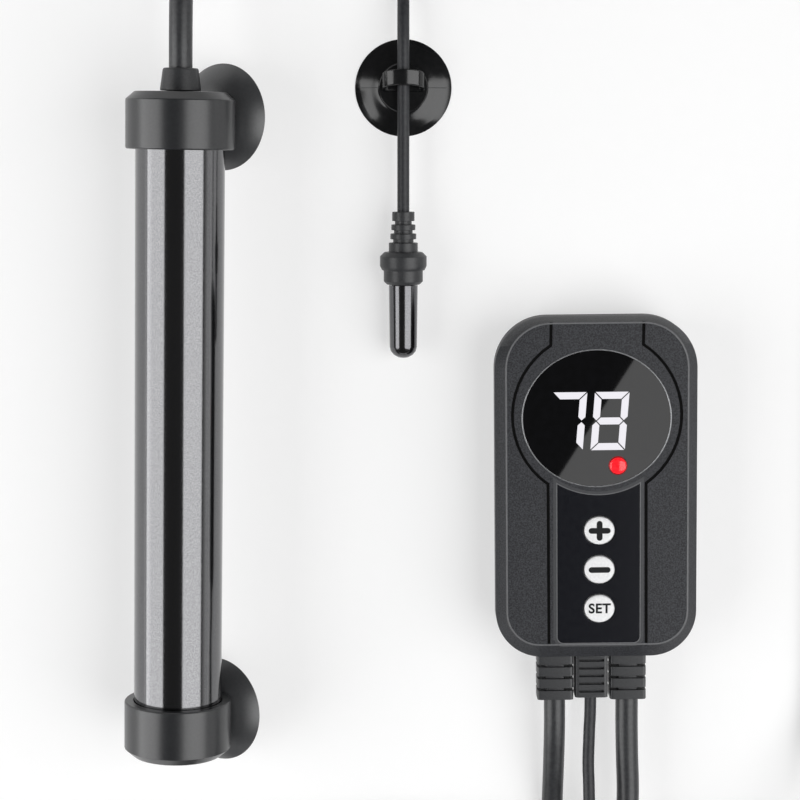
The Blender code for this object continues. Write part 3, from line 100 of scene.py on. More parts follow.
def finish(name, dark, pale, grain_mm, relief_mm, roughness, metallic=0.0, **more):
    """A surface with a mottle from dark to pale and a relief, both of one grain size.

    more sets other inputs of the shader, with _ for each space in a name."""
    material = bpy.data.materials.new(name)
    material.use_nodes = True
    shader = material.node_tree.nodes["Principled BSDF"]
    shader.inputs["Roughness"].default_value = roughness
    shader.inputs["Metallic"].default_value = metallic
    for socket, value in more.items():
        shader.inputs[socket.replace("_", " ")].default_value = value
    place = add_node(material, "ShaderNodeTexCoord", {})
    grain = add_node(material, "ShaderNodeTexNoise", {
        "Vector": place.outputs["Object"], "Scale": 1000 / grain_mm, "Detail": 3.0})
    ramp = add_node(material, "ShaderNodeValToRGB", {"Fac": grain.outputs["Fac"]})
    for element, position, code in zip(ramp.color_ramp.elements, MOTTLE, (dark, pale)):
        element.position = position
        element.color = linear(code)
    bump = add_node(material, "ShaderNodeBump", {
        "Height": grain.outputs["Fac"], "Strength": 1.0, "Distance": relief_mm / 1000})
    material.node_tree.links.new(ramp.outputs["Color"], shader.inputs["Base Color"])
    material.node_tree.links.new(bump.outputs["Normal"], shader.inputs["Normal"])
    return material


def coil_path(centre, outer, diameter, layers, turns, start):
    """A clockwise coil, wound in and out again layer by layer, climbing at each reversal."""
    pitch = diameter + TURN_GAP
    per_layer = turns / layers
    path = []
    for i in range(round(turns * LOOP_POINTS) + 1):
        turned_by = i / LOOP_POINTS
        phase = (turned_by / per_layer) % 2
        radius = outer - pitch * per_layer * (phase if phase < 1 else 2 - phase)
        level = 0.0
        for reversal in range(1, layers):
            rise = (turned_by - reversal * per_layer + CLIMB / 2) / CLIMB
            level += min(max(rise, 0.0), 1.0)
        angle = math.radians(start) - math.tau * turned_by
        path.append((centre[0] + radius * math.cos(angle), centre[1] + radius * math.sin(angle),
                     diameter / 2 + pitch * level))
    return path


def lay_cord(name, points, diameter, material):
    """One round cord along a smooth curve through the points."""
    data = bpy.data.curves.new(name, "CURVE")
    data.dimensions = "3D"
    data.bevel_depth = diameter / 2
    data.bevel_resolution = 7
    data.resolution_u = 6
    data.use_fill_caps = True
    spline = data.splines.new("BEZIER")
    spline.bezier_points.add(len(points) - 1)
    for knot, point in zip(spline.bezier_points, points):
        knot.co = point
        knot.handle_left_type = knot.handle_right_type = "AUTO"
    data.materials.append(material)
    cord = bpy.data.objects.new(name, data)
    bpy.context.scene.collection.objects.link(cord)
    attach(cord, SET_BODY)
    return cord


def make_piece(name, mesh, material, sharp=40):
    """Turn a bmesh into a named object."""
    bmesh.ops.recalc_face_normals(mesh, faces=mesh.faces)
    data = bpy.data.meshes.new(name)
    mesh.to_mesh(data)
    mesh.free()
    data.materials.append(material)
    data.shade_smooth()
    data.set_sharp_from_angle(angle=math.radians(sharp))
    piece = bpy.data.objects.new(name, data)
    bpy.context.scene.collection.objects.link(piece)
    return piece


def round_edges(piece, width, segments=3, angle=40):
    """A rounded edge like a mould's, kept as mesh."""
    bevel = piece.modifiers.new("rounded edges", "BEVEL")
    bevel.width = width
    bevel.segments = segments
    bevel.limit_method = "ANGLE"
    bevel.angle_limit = math.radians(angle)


def arc(x, y, radius, start, end, steps=12):
    """Points on an arc, angles in degrees."""
    angles = [math.radians(start + (end - start) * i / steps) for i in range(steps + 1)]
    return [(x + radius * math.cos(a), y + radius * math.sin(a)) for a in angles]


def flat_ring(name, outer, inner, bottom, top, material):
    """A plate between two outlines of equal point count."""
    mesh = bmesh.new()
    rings = [[mesh.verts.new((x, y, z)) for x, y in loop]
             for loop, z in ((outer, bottom), (outer, top), (inner, top), (inner, bottom))]
    for lower, upper in zip(rings, rings[1:] + rings[:1]):
        for i in range(len(lower)):
            mesh.faces.new((lower[i - 1], lower[i], upper[i], upper[i - 1]))
    return make_piece(name, mesh, material)


def moulded_skin(name, material, edge=0.0003, body=SET_BODY, sharp=32):
    """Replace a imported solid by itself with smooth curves, and edges rounded like the mould's.

    With edge 0 it keeps its sharp edges."""
    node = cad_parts[name]
    mesh = bmesh.new()
    mesh.from_mesh(node.data)
    mesh.transform(node.matrix_world)
    bmesh.ops.remove_doubles(mesh, verts=mesh.verts, dist=WELD)
    bmesh.ops.dissolve_limit(mesh, angle_limit=FLAT_WITHIN, verts=mesh.verts, edges=mesh.edges)
    piece = make_piece(f"{name}_skin", mesh, material, 180 if edge else sharp)
    if edge:
        round_edges(piece, edge, 2, sharp)
        piece.modifiers.new("even shading", "WEIGHTED_NORMAL")
    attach(piece, body)
    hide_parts(name)
    return piece


def dress(material, *names):
    """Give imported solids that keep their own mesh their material."""
    for name in names:
        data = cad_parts[name].data
        data.materials.clear()
        data.materials.append(material)


def coil_tie(name, centre, angle, inner, outer, height, material):
    """A strap closed round all the turns of a coil, at one angle and between two radii."""
    def loop(grow):
        """The strap's outline across the coil, grown by its thickness for the outer face."""
        left, right, top, corner = inner - grow, outer + grow, height + grow, TIE_CORNER + grow
        low = TIE_LIFT + TIE_THICKNESS - grow
        return (arc(right - corner, top - corner, corner, 0, 90, 6)
                + arc(left + corner, top - corner, corner, 90, 180, 6)
                + arc(left + corner, low + corner, corner, 180, 270, 6)
                + arc(right - corner, low + corner, corner, 270, 360, 6))
    tie = flat_ring(name, loop(TIE_THICKNESS), loop(0.0), -TIE_WIDTH / 2, TIE_WIDTH / 2, material)
    tie.data.transform(Matrix.Translation((centre[0], centre[1], 0.0))
                       @ Matrix.Rotation(math.radians(angle), 4, "Z")
                       @ Matrix.Rotation(math.pi / 2, 4, "X"))
    round_edges(tie, TIE_EDGE, 2)
    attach(tie, SET_BODY)
    return tie


# Flexible PVC, extruded: a soft sheen with a faint mottle and no grain to speak of. The thin
# cord's jacket left its die duller.
cord_pvc = finish("extruded_black_pvc", "#27282a", "#333436", 1.2, 0.006, 0.36)
thin_cord_pvc = finish("extruded_matt_pvc", "#27282b", "#323336", 1.2, 0.006, 0.45,
                       Specular_IOR_Level=0.35)

# Each coil is held by one strap of woven nylon, with its loops just coarse enough to show.
tie_nylon = finish("woven_nylon_strap", "#141415", "#2b2b2d", 0.7, 0.12, 0.85)
TIE_WIDTH, TIE_THICKNESS, TIE_CORNER, TIE_EDGE = 0.0080, 0.0007, 0.0018, 0.0002
TIE_LIFT = 0.00002              # off the table
mains_tie = coil_tie("mains_coil_tie", MAINS_COIL, 120, 0.0243, 0.0477, 0.0151, tie_nylon)
heater_tie = coil_tie("heater_coil_tie", HEATER_COIL, -60, 0.0298, 0.0460, 0.0159, tie_nylon)
sensor_tie = coil_tie("sensor_coil_tie", SENSOR_COIL, -20, 0.0180, 0.0270, 0.0178, tie_nylon)

# The plug and the cords' glands are moulded on in a softer PVC, which comes out of the mould
# a little duller than the extruded jackets.
gland_pvc = finish("moulded_flexible_pvc", "#27282a", "#303133", 0.6, 0.008, 0.42)
plug = moulded_skin("plug_body", gland_pvc, 0.0003)

# Nickel plate is bright and nearly smooth, and only slightly warm beside chrome.
plated_steel = finish("bright_nickel_plate", "#b9b8b4", "#c8c7c3", 1.5, 0.003, 0.25, 1.0)
PLUG_PINS = ("plug_blade_1", "plug_blade_2", "plug_earth_pin")
dress(plated_steel, *PLUG_PINS)

mains_coil = coil_path(MAINS_COIL, 0.04815, MAINS_CORD, 2, 5.25, 0)
mains_cord = lay_cord("mains_flex", [
    (0.04861, -0.0951, 0.0120), (0.04861, -0.09935, 0.0120), (0.0487, -0.1086, 0.0118),
    (0.0487, -0.1216, 0.0095), (0.0486, -0.1366, 0.0057), (0.0485, -0.1496, 0.0039),
    (0.0484, -0.1616, 0.0036), (0.0484, -0.1736, 0.0036), (0.0484, -0.18515, 0.0036),
    *mains_coil,
    (-0.0171, -0.2408, 0.01135), (-0.0306, -0.2407, 0.0090), (-0.0436, -0.2401, 0.0055),
    (-0.0566, -0.2358, 0.0047), (-0.0668, -0.2256, 0.0078), (-0.0706, -0.2146, 0.0111),
    (-0.0708, -0.2066, 0.0115), (-0.0708, -0.1966, 0.0115)], MAINS_CORD, cord_pvc)
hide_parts("mains_cord", "mains_cord_coil", "mains_cord_tail")

heater_coil = coil_path(HEATER_COIL, 0.04330, HEATER_CORD, 2, 2 + 7 / 12, 0)
heater_cord = lay_cord("heater_flex", [
    (-0.07372, 0.1064, 0.02772), (-0.07363, 0.11113, 0.02772), (-0.07345, 0.1229, 0.0277),
    (-0.0732, 0.1414, 0.0254), (-0.0731, 0.1604, 0.0195), (-0.0686, 0.1789, 0.0123),
    (-0.0554, 0.1924, 0.0063), (-0.0371, 0.1974, 0.0040), (-0.0186, 0.1977, 0.0038),
    (0.0294, 0.1974, 0.0038), (0.0694, 0.1974, 0.0038), (0.1074, 0.1974, 0.0038),
    (0.1254, 0.1926, 0.0038), (0.1386, 0.1794, 0.0038), (0.14335, 0.1614, 0.0038),
    (0.14350, 0.1334, 0.0038), (0.14355, 0.0734, 0.0038), (0.14355, 0.0034, 0.0038),
    (0.14355, -0.0666, 0.0038), (0.14355, -0.1266, 0.0038), (0.14355, -0.1666, 0.0038),
    *heater_coil,
    (0.0702, -0.1543, 0.0119), (0.0732, -0.1461, 0.0118), (0.0739, -0.1346, 0.0112),
    (0.0734, -0.1186, 0.0115), (0.07308, -0.1076, 0.0119), (0.07298, -0.09908, 0.0120),
    (0.07292, -0.0951, 0.0120)], HEATER_CORD, cord_pvc)
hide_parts("heater_cord", "heater_cord_coil", "heater_cord_lead")

sensor_coil = coil_path(SENSOR_COIL, 0.02530, SENSOR_CORD, 4, 5 + 1 / 3, 180)
sensor_cord = lay_cord("sensor_flex", [
    (-0.00255, 0.0609, 0.00775), (-0.00255, 0.0649, 0.00775), (-0.00255, 0.0784, 0.00775),
    (-0.00255, 0.0934, 0.00775), (-0.00255, 0.1094, 0.00775), (-0.00255, 0.1214, 0.00775),
    (-0.00255, 0.1334, 0.00560), (-0.00255, 0.1464, 0.00265), (-0.00255, 0.1534, 0.00205),
    (-0.00255, 0.1611, 0.0020),
    *sensor_coil,
    (0.0464, 0.18095, 0.0155), (0.0579, 0.1744, 0.0115), (0.0714, 0.1686, 0.0050),
    (0.0854, 0.1642, 0.00205), (0.0914, 0.1628, 0.0020), (0.1014, 0.1604, 0.0020),
    (0.1174, 0.1549, 0.0020), (0.1299, 0.1439, 0.0020), (0.1356, 0.1264, 0.0020),
    (0.1369, 0.1034, 0.0020), (0.13695, 0.0534, 0.0020), (0.13695, 0.0034, 0.0020),
    (0.13695, -0.0466, 0.0020), (0.13695, -0.0886, 0.0020), (0.13695, -0.0946, 0.00205),
    (0.1369, -0.1116, 0.0046), (0.1362, -0.1286, 0.0110),
    (0.1319, -0.1447, 0.0167), (0.1206, -0.1541, 0.0182), (0.1064, -0.1557, 0.0182),
    (0.0924, -0.1553, 0.0182), (0.0794, -0.1543, 0.0182), (0.0689, -0.1501, 0.0182),
    (0.0619, -0.1411, 0.0175), (0.0602, -0.1266, 0.0150), (0.0604, -0.1116, 0.0125),
    (0.0607, -0.1046, 0.0120), (0.0607, -0.0951, 0.0120)], SENSOR_CORD, thin_cord_pvc)
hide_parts("sensor_cord", "sensor_cord_coil", "sensor_cord_lead")

# ---------------------------------------------------------------- heater tube
# Drawn titanium tube with a glossy black coating. The coating holds fine metal flake, so the
# lamps draw long soft bands down it with a slight sparkle.

FLAKE_MM = 0.35                 # real flake is finer, and this is the least that shows
titanium = finish("black_coated_titanium", "#606062", "#6f6f70", FLAKE_MM, 0.0010, 0.12, 1.0)
moulded_skin("heater_tube", titanium, 0)

# The probe's sheath is bead-blasted under the same coating, so its bands are wider and softer.
blasted_titanium = finish("blasted_coated_titanium", "#5c5c5e", "#666668", 0.4, 0.0010, 0.15, 1.0)
moulded_skin("probe_sheath", blasted_titanium, 0)

# ---------------------------------------------------------------- end caps and heater gland
# Caps pushed over the tube's ends, moulded in satin black polypropylene, with a softer gland
# for the cord. The satin shows the lamps as two broad soft bands. The other glands follow here.

cap_plastic = finish("moulded_satin_polypropylene", "#1e1f21", "#242527", 0.8, 0.0008, 0.31,
                     Specular_IOR_Level=0.62)
for name in ("top_end_cap", "bottom_end_cap"):
    moulded_skin(name, cap_plastic, 0.0004)
for name in ("heater_cord_gland", "probe_strain_relief", "mains_cord_gland", "sensor_cord_gland",
             "heater_lead_gland"):
    moulded_skin(name, gland_pvc, 0.0002)

# ---------------------------------------------------------------- heater suction cups
# Two bells of moulded silicone rubber on barbed stems, pushed into the sides of the caps. They
# are flat at the crown and steep at the thin rim, and their skin is smooth with a soft bloom.

CUP_AXIS = Vector((0.559113, -0.009467, -0.829038))     # down and towards the controller
CUP_PLACES = {"top": Vector((-0.07389, 0.09559, 0.02772)),
              "bottom": Vector((-0.07726, -0.10339, 0.02772))}
CUP_CROWN, CUP_RIM = 0.0157, 0.0219     # from the heater's axis
CUP_RADIUS, CROWN_RADIUS = 0.0174, 0.0058
CUP_DEPTH, CUP_LIP = 0.0035, 0.0006     # of the hollow, and the flat lip round it
LIP_EDGE = 0.0001               # the lip's corner is cut by two of these down and three across
CUP_FLARE = 2.4                 # power of the bell's curve from crown to rim
STEM_LENGTH, STEM_RADIUS = 0.0050, 0.0017
BARB_LENGTH, BARB_RADIUS, BARB_STEP = 0.0013, 0.0021, 0.0002
RINGS = 16                      # down the bell


def turned(name, profile, material, steps=96):
    """A piece turned about Z from (radius, height) points, smooth but for its sharp corners."""
    mesh = bmesh.new()
    points = [mesh.verts.new((radius, 0, height)) for radius, height in profile]
    edges = [mesh.edges.new(pair) for pair in zip(points, points[1:])]
    bmesh.ops.spin(mesh, geom=points + edges, cent=(0, 0, 0), axis=(0, 0, 1),
                   angle=math.tau, steps=steps)
    bmesh.ops.remove_doubles(mesh, verts=mesh.verts, dist=WELD)
    return make_piece(name, mesh, material)


def smooth_profile(points, per_span=5):
    """Points on a smooth line through (radius, height) points."""
    line = []
    for i in range(len(points) - 1):
        before = points[max(i - 1, 0)]
        start, end = points[i], points[i + 1]
        after = points[min(i + 2, len(points) - 1)]
        for step in range(per_span):
            t = step / per_span
            line.append(tuple(0.5 * (2 * b + (c - a) * t + (2 * a - 5 * b + 4 * c - d) * t**2
                                     + (3 * b - a - 3 * c + d) * t**3)
                              for a, b, c, d in zip(before, start, end, after)))
    return line + [points[-1]]


cup_rubber = finish("moulded_black_silicone", "#303133", "#363739", 0.8, 0.001, 0.42,
                    Specular_IOR_Level=1.0)
bell = CUP_RIM - CUP_CROWN
wide = CUP_RADIUS - CROWN_RADIUS
inside = CUP_RADIUS - CUP_LIP
stem_end = CUP_CROWN - STEM_LENGTH
stem = [(0.0, stem_end), (STEM_RADIUS, stem_end), (BARB_RADIUS, stem_end + BARB_LENGTH),
        (STEM_RADIUS, stem_end + BARB_LENGTH + BARB_STEP), (STEM_RADIUS, CUP_CROWN)]
outer_skin = [(CROWN_RADIUS + wide * i / RINGS,
               CUP_CROWN + (bell - 2 * LIP_EDGE) * (i / RINGS) ** CUP_FLARE)
              for i in range(RINGS + 1)]
inner_skin = smooth_profile([(inside, CUP_RIM - LIP_EDGE),
                             (0.80 * inside, CUP_RIM - 0.45 * CUP_DEPTH),
                             (0.50 * inside, CUP_RIM - 0.84 * CUP_DEPTH),
                             (0.22 * inside, CUP_RIM - CUP_DEPTH),
                             (0.0, CUP_RIM - CUP_DEPTH)])
tilt = CUP_AXIS.to_track_quat("Z", "Y").to_matrix().to_4x4()
for end, place in CUP_PLACES.items():
    cup = turned(f"{end}_cup_bell", stem + outer_skin + [(CUP_RADIUS - 3 * LIP_EDGE, CUP_RIM)]
                 + inner_skin, cup_rubber)
    cup.data.transform(Matrix.Translation(place) @ tilt)
    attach(cup, f"{end}_cup")
    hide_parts(f"{end}_suction_cup")

# ---------------------------------------------------------------- inside the heater
# Resistance ribbon on a pressed ceramic core, carried by ceramic discs, with a thermal cut-out
# and crimped terminals under the top cap, and rubber seals at both ends.

# Fired alumina is a chalky warm white, and the rolled ribbon a dull brownish metal.
ceramic = finish("fired_alumina", "#d3cfc3", "#e4e0d6", 0.6, 0.010, 0.55)
ribbon_alloy = finish("rolled_resistance_ribbon", "#7d736a", "#92877c", 0.8, 0.004, 0.35, 1.0)
# Nitrile pressed in a plain mould is matt, with a fine talc-like grain.
seal_rubber = finish("pressed_nitrile_rubber", "#1c1c1d", "#262627", 0.5, 0.010, 0.60)
dress(ceramic, "element_core", "insulator_disc_top", "insulator_disc_bottom")
dress(ribbon_alloy, "heating_wire")
dress(plated_steel, "thermal_cutout", "lead_terminal_1", "lead_terminal_2")
dress(seal_rubber, "top_tube_seal", "bottom_tube_seal")

# ---------------------------------------------------------------- probe cup and cord clip
# A flatter cup of the same silicone, glossy from its polished mould, with a moulded strap that
# holds the probe's cord over the middle of the cup.

PROBE_X, PROBE_CUP_Y = -0.00255, 0.1050
PROBE_CUP_RADIUS, PROBE_CROWN_RADIUS = 0.0160, 0.0078
PROBE_CUP_HEIGHT, PROBE_CUP_CAVITY = 0.0043, 0.0026
# Its slope, as pairs of the share of the way from the crown to the rim, and the height.
PROBE_CUP_SLOPE = ((0.80, 0.0014), (0.45, 0.0027), (0.10, 0.0037), (0.0, PROBE_CUP_HEIGHT))
PROBE_CUP_LIP, PROBE_LIP_EDGE = 0.0008, 0.0003
gloss_silicone = finish("polished_black_silicone", "#101112", "#181819", 1.5, 0.003, 0.16)
reach = PROBE_CUP_RADIUS - PROBE_CROWN_RADIUS
probe_cup_skin = smooth_profile([(PROBE_CROWN_RADIUS + share * reach, height)
                                 for share, height in PROBE_CUP_SLOPE])
probe_cup = turned("probe_cup_disc", smooth_profile([
    (0.0, PROBE_CUP_CAVITY), (0.35 * PROBE_CUP_RADIUS, PROBE_CUP_CAVITY),
    (0.75 * PROBE_CUP_RADIUS, 0.55 * PROBE_CUP_CAVITY),
    (PROBE_CUP_RADIUS - PROBE_CUP_LIP, LIP_EDGE)])
    + [(PROBE_CUP_RADIUS - PROBE_LIP_EDGE, 0.0), (PROBE_CUP_RADIUS, PROBE_LIP_EDGE)]
    + probe_cup_skin + [(0.0, PROBE_CUP_HEIGHT)], gloss_silicone)
probe_cup.data.transform(Matrix.Translation((PROBE_X, PROBE_CUP_Y, 0.0)))
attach(probe_cup, "probe_cup")
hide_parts("probe_suction_cup")

# The cup is moulded in two halves, which leaves a thin line across it.
FLASH_HALF_WIDTH, FLASH_HEIGHT = 0.00014, 0.00010
flash_mesh = bmesh.new()
for side in (-1, 1):
    rows = [[flash_mesh.verts.new((PROBE_X + side * radius, PROBE_CUP_Y + across, height + lift))
             for across, lift in ((-FLASH_HALF_WIDTH, -FLASH_HEIGHT), (0, FLASH_HEIGHT),
                                  (FLASH_HALF_WIDTH, -FLASH_HEIGHT))]
            for radius, height in probe_cup_skin]
    for low, high in zip(rows, rows[1:]):
        for i in (0, 1):
            flash_mesh.faces.new((low[i], low[i + 1], high[i + 1], high[i]))
flash = make_piece("cup_parting_line", flash_mesh, seal_rubber)
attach(flash, "probe_cup")

STRAP_HALF, STRAP_LENGTH, STRAP_WALL = 0.0070, 0.0051, 0.0013
STRAP_FOOT, STRAP_SPRING, STRAP_CROWN = 0.0042, 0.00715, 0.01135     # heights over the table
STRAP_STEP, STRAP_EDGE = 0.0008, 0.0004     # of the foot's inner edge, and the rounding
STRAP_SHIFT, STRAP_LEAN = -0.0002, 0.33     # along the cord, and towards its free end


def strap_section(inset, foot):
    """The arched strap seen along the cord, drawn in by inset."""
    half, rise = STRAP_HALF - inset, STRAP_CROWN - inset - STRAP_SPRING
    crown = [(half * math.cos(math.pi * i / 24), STRAP_SPRING + rise * math.sin(math.pi * i / 24))
             for i in range(25)]
    return [(half, foot)] + crown + [(-half, foot)]


strap = flat_ring("cord_strap", strap_section(0, STRAP_FOOT),
                  strap_section(STRAP_WALL, STRAP_FOOT + STRAP_STEP), -STRAP_LENGTH / 2,
                  STRAP_LENGTH / 2, gloss_silicone)
lean = Matrix.Identity(4)
lean[1][2] = STRAP_LEAN
strap.data.transform(Matrix.Translation((PROBE_X, PROBE_CUP_Y + STRAP_SHIFT, 0.0)) @ lean
                     @ Matrix.Rotation(math.pi / 2, 4, "X"))
round_edges(strap, STRAP_EDGE)
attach(strap, "probe_cup")
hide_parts("probe_cord_clip")
dress(seal_rubber, "thermistor")

# ---------------------------------------------------------------- controller housing
# Two covers moulded in charcoal ABS, screwed together from behind over a gasket. The mould is
# spark-eroded, so the whole skin has an even fine grain that catches the light.

CONTROLLER_PLACE = Vector((0.0612, -0.02625, 0.0))
CONTROLLER_TURN = math.radians(0.635)
FACE_Z = 0.0240
SPARK_GRAIN_MM = 0.45           # about twice the real grain, which would not show
housing_abs = finish("spark_grained_abs", "#1e1f22", "#3a3b3f", SPARK_GRAIN_MM, 0.050, 0.44,
                     Specular_IOR_Level=0.30)
controller = Matrix.Translation(CONTROLLER_PLACE) @ Matrix.Rotation(CONTROLLER_TURN, 4, "Z")
HOUSING_HALF_WIDTH, HOUSING_HALF_LENGTH = 0.03335, 0.05695
CORNER_RADIUS = {True: 0.0174, False: 0.0153}   # at the upper end, and at the cords' end
CHORD_RISE = 0.0328             # of a 15 degree arc over its chord, as a share of the chord
NOT_STRAIGHT = 1e-4             # an edge that runs further than this both ways is a chord
INNERMOST = 0.6                 # of a corner's radius, inside which no edge is part of its curve


def curve_corners(piece):
    """Divide the flats round the housing's corners and lift them on to the true curve."""
    mesh = bmesh.new()
    mesh.from_mesh(piece.data)
    mesh.transform(controller.inverted())
    chords = []
    for edge in mesh.edges:
        start, end = (vert.co.copy() for vert in edge.verts)
        middle, along = (start + end) / 2, end - start
        radius = CORNER_RADIUS[middle.y > 0]
        out = (Vector((abs(middle.x), abs(middle.y)))
               - Vector((HOUSING_HALF_WIDTH - radius, HOUSING_HALF_LENGTH - radius)))
        slanting = min(abs(along.x), abs(along.y)) > NOT_STRAIGHT and abs(along.z) < WELD
        on_corner = min(out.x, out.y) > 0 and INNERMOST * radius < out.length < radius
        if slanting and on_corner:
            rise = Vector((math.copysign(abs(along.y), middle.x),
                           math.copysign(abs(along.x), middle.y), 0)) * CHORD_RISE
            chords.append((edge, start, along, rise))
    old = set(mesh.verts)
    bmesh.ops.subdivide_edges(mesh, edges=[chord[0] for chord in chords], cuts=3,
                              use_grid_fill=True)
    for vert in mesh.verts:
        if vert in old:
            continue
        for _, start, along, rise in chords:
            share = (vert.co - start).dot(along) / along.length_squared
            if 0 < share < 1 and (start + along * share - vert.co).length < WELD:
                vert.co += rise * 4 * share * (1 - share)
                break
    mesh.transform(controller)
    mesh.to_mesh(piece.data)
    mesh.free()
    piece.data.shade_smooth()


curve_corners(moulded_skin("front_cover", housing_abs, 0.00035))
curve_corners(moulded_skin("rear_cover", housing_abs, 0.0003))
dress(plated_steel, *(f"housing_screw_{number}" for number in range(1, 5)))
dress(seal_rubber, "cover_gasket")

FACE_RIGHT, FACE_TOP, FACE_BOTTOM = 0.03005, 0.05535, -0.05205      # edges of the flat face
FACE_TOP_CORNER, FACE_BOTTOM_CORNER = 0.01495, 0.01120
SINK = 0.0001                   # how deep a thin trim sits in the face, so that no gap shows
FACE_HIGHLIGHT_WIDTH, FACE_HIGHLIGHT_RISE = 0.0005, 0.00012
TRIM_EDGE = 0.0001


def face_outline(inset):
    """The edge of the flat face, drawn in all round."""
    right, top, bottom = FACE_RIGHT - inset, FACE_TOP - inset, FACE_BOTTOM + inset
    high, low = FACE_TOP_CORNER - inset, FACE_BOTTOM_CORNER - inset
    return (arc(right - high, top - high, high, 0, 90)
            + arc(high - right, top - high, high, 90, 180)
            + arc(low - right, bottom + low, low, 180, 270)
            + arc(right - low, bottom + low, low, 270, 360))


def on_controller(piece, body=SET_BODY):
    """Set a piece made in the controller's own frame in its place."""
    piece.data.transform(controller)
    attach(piece, body)


def plate(outlines, bottom, top):
    """Flat shapes of even thickness, as one mesh."""
    mesh = bmesh.new()
    for outline in outlines:
        face = mesh.faces.new([mesh.verts.new((x, y, bottom)) for x, y in outline])
        raised = bmesh.ops.extrude_face_region(mesh, geom=[face])["geom"]
        bmesh.ops.translate(mesh, vec=(0, 0, top - bottom),
                            verts=[item for item in raised if isinstance(item, bmesh.types.BMVert)])
    return mesh


def groove_shade_outline(side):
    """A strip of painted shade at the bottom of the groove that outlines the spine and the display.
    """
    def edge(shift):
        """One side of the strip, shifted from its centre line."""
        top, low, radius = GROOVE_TOP_X + shift, GROOVE_LOW_X + shift, GROOVE_RADIUS + shift
        start, end = math.degrees(math.acos(top / radius)), -math.degrees(math.acos(low / radius))
        return ([(side * top, FACE_TOP - GROOVE_END)]
                + [(side * x + DIAL_X, DIAL_Y + y) for x, y in arc(0, 0, radius, start, end, 32)]
                + [(side * low, FACE_BOTTOM + GROOVE_END)])
    return edge(GROOVE_HALF_WIDTH) + edge(-GROOVE_HALF_WIDTH)[::-1]


GROOVE_TOP_X, GROOVE_LOW_X, GROOVE_RADIUS, GROOVE_HALF_WIDTH = 0.0151, 0.0161, 0.0277, 0.00042
GROOVE_DEPTH, GROOVE_SHADOW, GROOVE_END = 0.0007, 0.0002, 0.0006    # the last keeps it off the rim
DIAL_X, DIAL_Y = -0.0001, 0.0247
# A dull black strip sunk in the groove, as painted shade, so the groove reads as a crisp black
# line.
groove_painted_shade = finish("painted_shade_black", "#060606", "#0a0a0a", 0.6, 0.004, 0.80,
                Specular_IOR_Level=0.1)
groove = make_piece("spine_groove_painted_shade", plate([groove_shade_outline(-1), groove_shade_outline(1)],
                                          FACE_Z - GROOVE_DEPTH, FACE_Z - GROOVE_SHADOW), groove_painted_shade)
on_controller(groove)

# A thin lighter line along the face's edge: a painted highlight where the bevel meets the face. The
# same pale material draws the line round the keypad.
pale_line_abs = finish("pale_edge_line_abs", "#606163", "#68696b", 0.8, 0.004, 0.34)
face_highlight = flat_ring("face_edge_painted_highlight", face_outline(0.0), face_outline(FACE_HIGHLIGHT_WIDTH),
                      FACE_Z - SINK, FACE_Z + FACE_HIGHLIGHT_RISE, pale_line_abs)
round_edges(face_highlight, TRIM_EDGE, 2)
on_controller(face_highlight)

# ---------------------------------------------------------------- display
# A polished black acrylic window in a thin chromed ring. Bright white segments show through
# it, with a red lamp below them.

LENS_X, LENS_Y, LENS_HALF_WIDTH, LENS_HALF_HEIGHT = -0.0002, 0.0238, 0.0243, 0.0225
RING_OUT, RING_IN, RING_RISE = 0.0003, 0.0001, 0.0002       # from the window's edge and the face
# The acrylic is a black mirror. The chrome is thinly laid on plastic, so it is soft and greyish.
window_acrylic = finish("polished_black_acrylic", "#050506", "#08080a", 3.0, 0.0, 0.02)
chrome = finish("chromed_plastic", "#8d8e90", "#9b9c9e", 2.0, 0.001, 0.30, 1.0)


def oval(x, y, half_width, half_height, steps=96):
    """Points round an ellipse."""
    return [(x + half_width * math.cos(math.tau * i / steps),
             y + half_height * math.sin(math.tau * i / steps)) for i in range(steps)]


ring = flat_ring("display_ring",
                 oval(LENS_X, LENS_Y, LENS_HALF_WIDTH + RING_OUT, LENS_HALF_HEIGHT + RING_OUT),
                 oval(LENS_X, LENS_Y, LENS_HALF_WIDTH - RING_IN, LENS_HALF_HEIGHT - RING_IN),
                 FACE_Z - RING_RISE, FACE_Z + RING_RISE, chrome)
round_edges(ring, TRIM_EDGE, 2)
on_controller(ring)

DIGIT_HALF_HEIGHT, DIGIT_HALF_WIDTH, STROKE = 0.0096, 0.00565, 0.0023
DIGIT_SLANT = math.radians(4.6)
DIGIT_GAP = 0.00027             # how far each bar's slanted ends keep back
DIGIT_MIDDLES = ((-0.0097, "abc"), (0.0041, "abcdefg"))     # and which bars are lit
DIGITS_Y, DIGIT_RISE = 0.0229, 0.00006


def upper_bar():
    """The top bar, its ends mitred against the uprights."""
    x, y = DIGIT_HALF_WIDTH, DIGIT_HALF_HEIGHT
    inner = x - STROKE - DIGIT_GAP
    return [(DIGIT_GAP - x, y), (x - DIGIT_GAP, y), (inner, y - STROKE), (-inner, y - STROKE)]


def upright():
    """The upper right bar, mitred at the top and pointed at the digit's middle."""
    x, y = DIGIT_HALF_WIDTH, DIGIT_HALF_HEIGHT
    shoulder = STROKE / 2 + DIGIT_GAP
    return [(x, y - DIGIT_GAP), (x, shoulder), (x - STROKE / 2, DIGIT_GAP), (x - STROKE, shoulder),
            (x - STROKE, y - STROKE - DIGIT_GAP)]


def middle_bar():
    """The middle bar, pointed at both ends."""
    x = DIGIT_HALF_WIDTH - STROKE / 2 - DIGIT_GAP
    inner = x - STROKE / 2
    return [(-x, 0), (-inner, STROKE / 2), (inner, STROKE / 2), (x, 0), (inner, -STROKE / 2),
            (-inner, -STROKE / 2)]


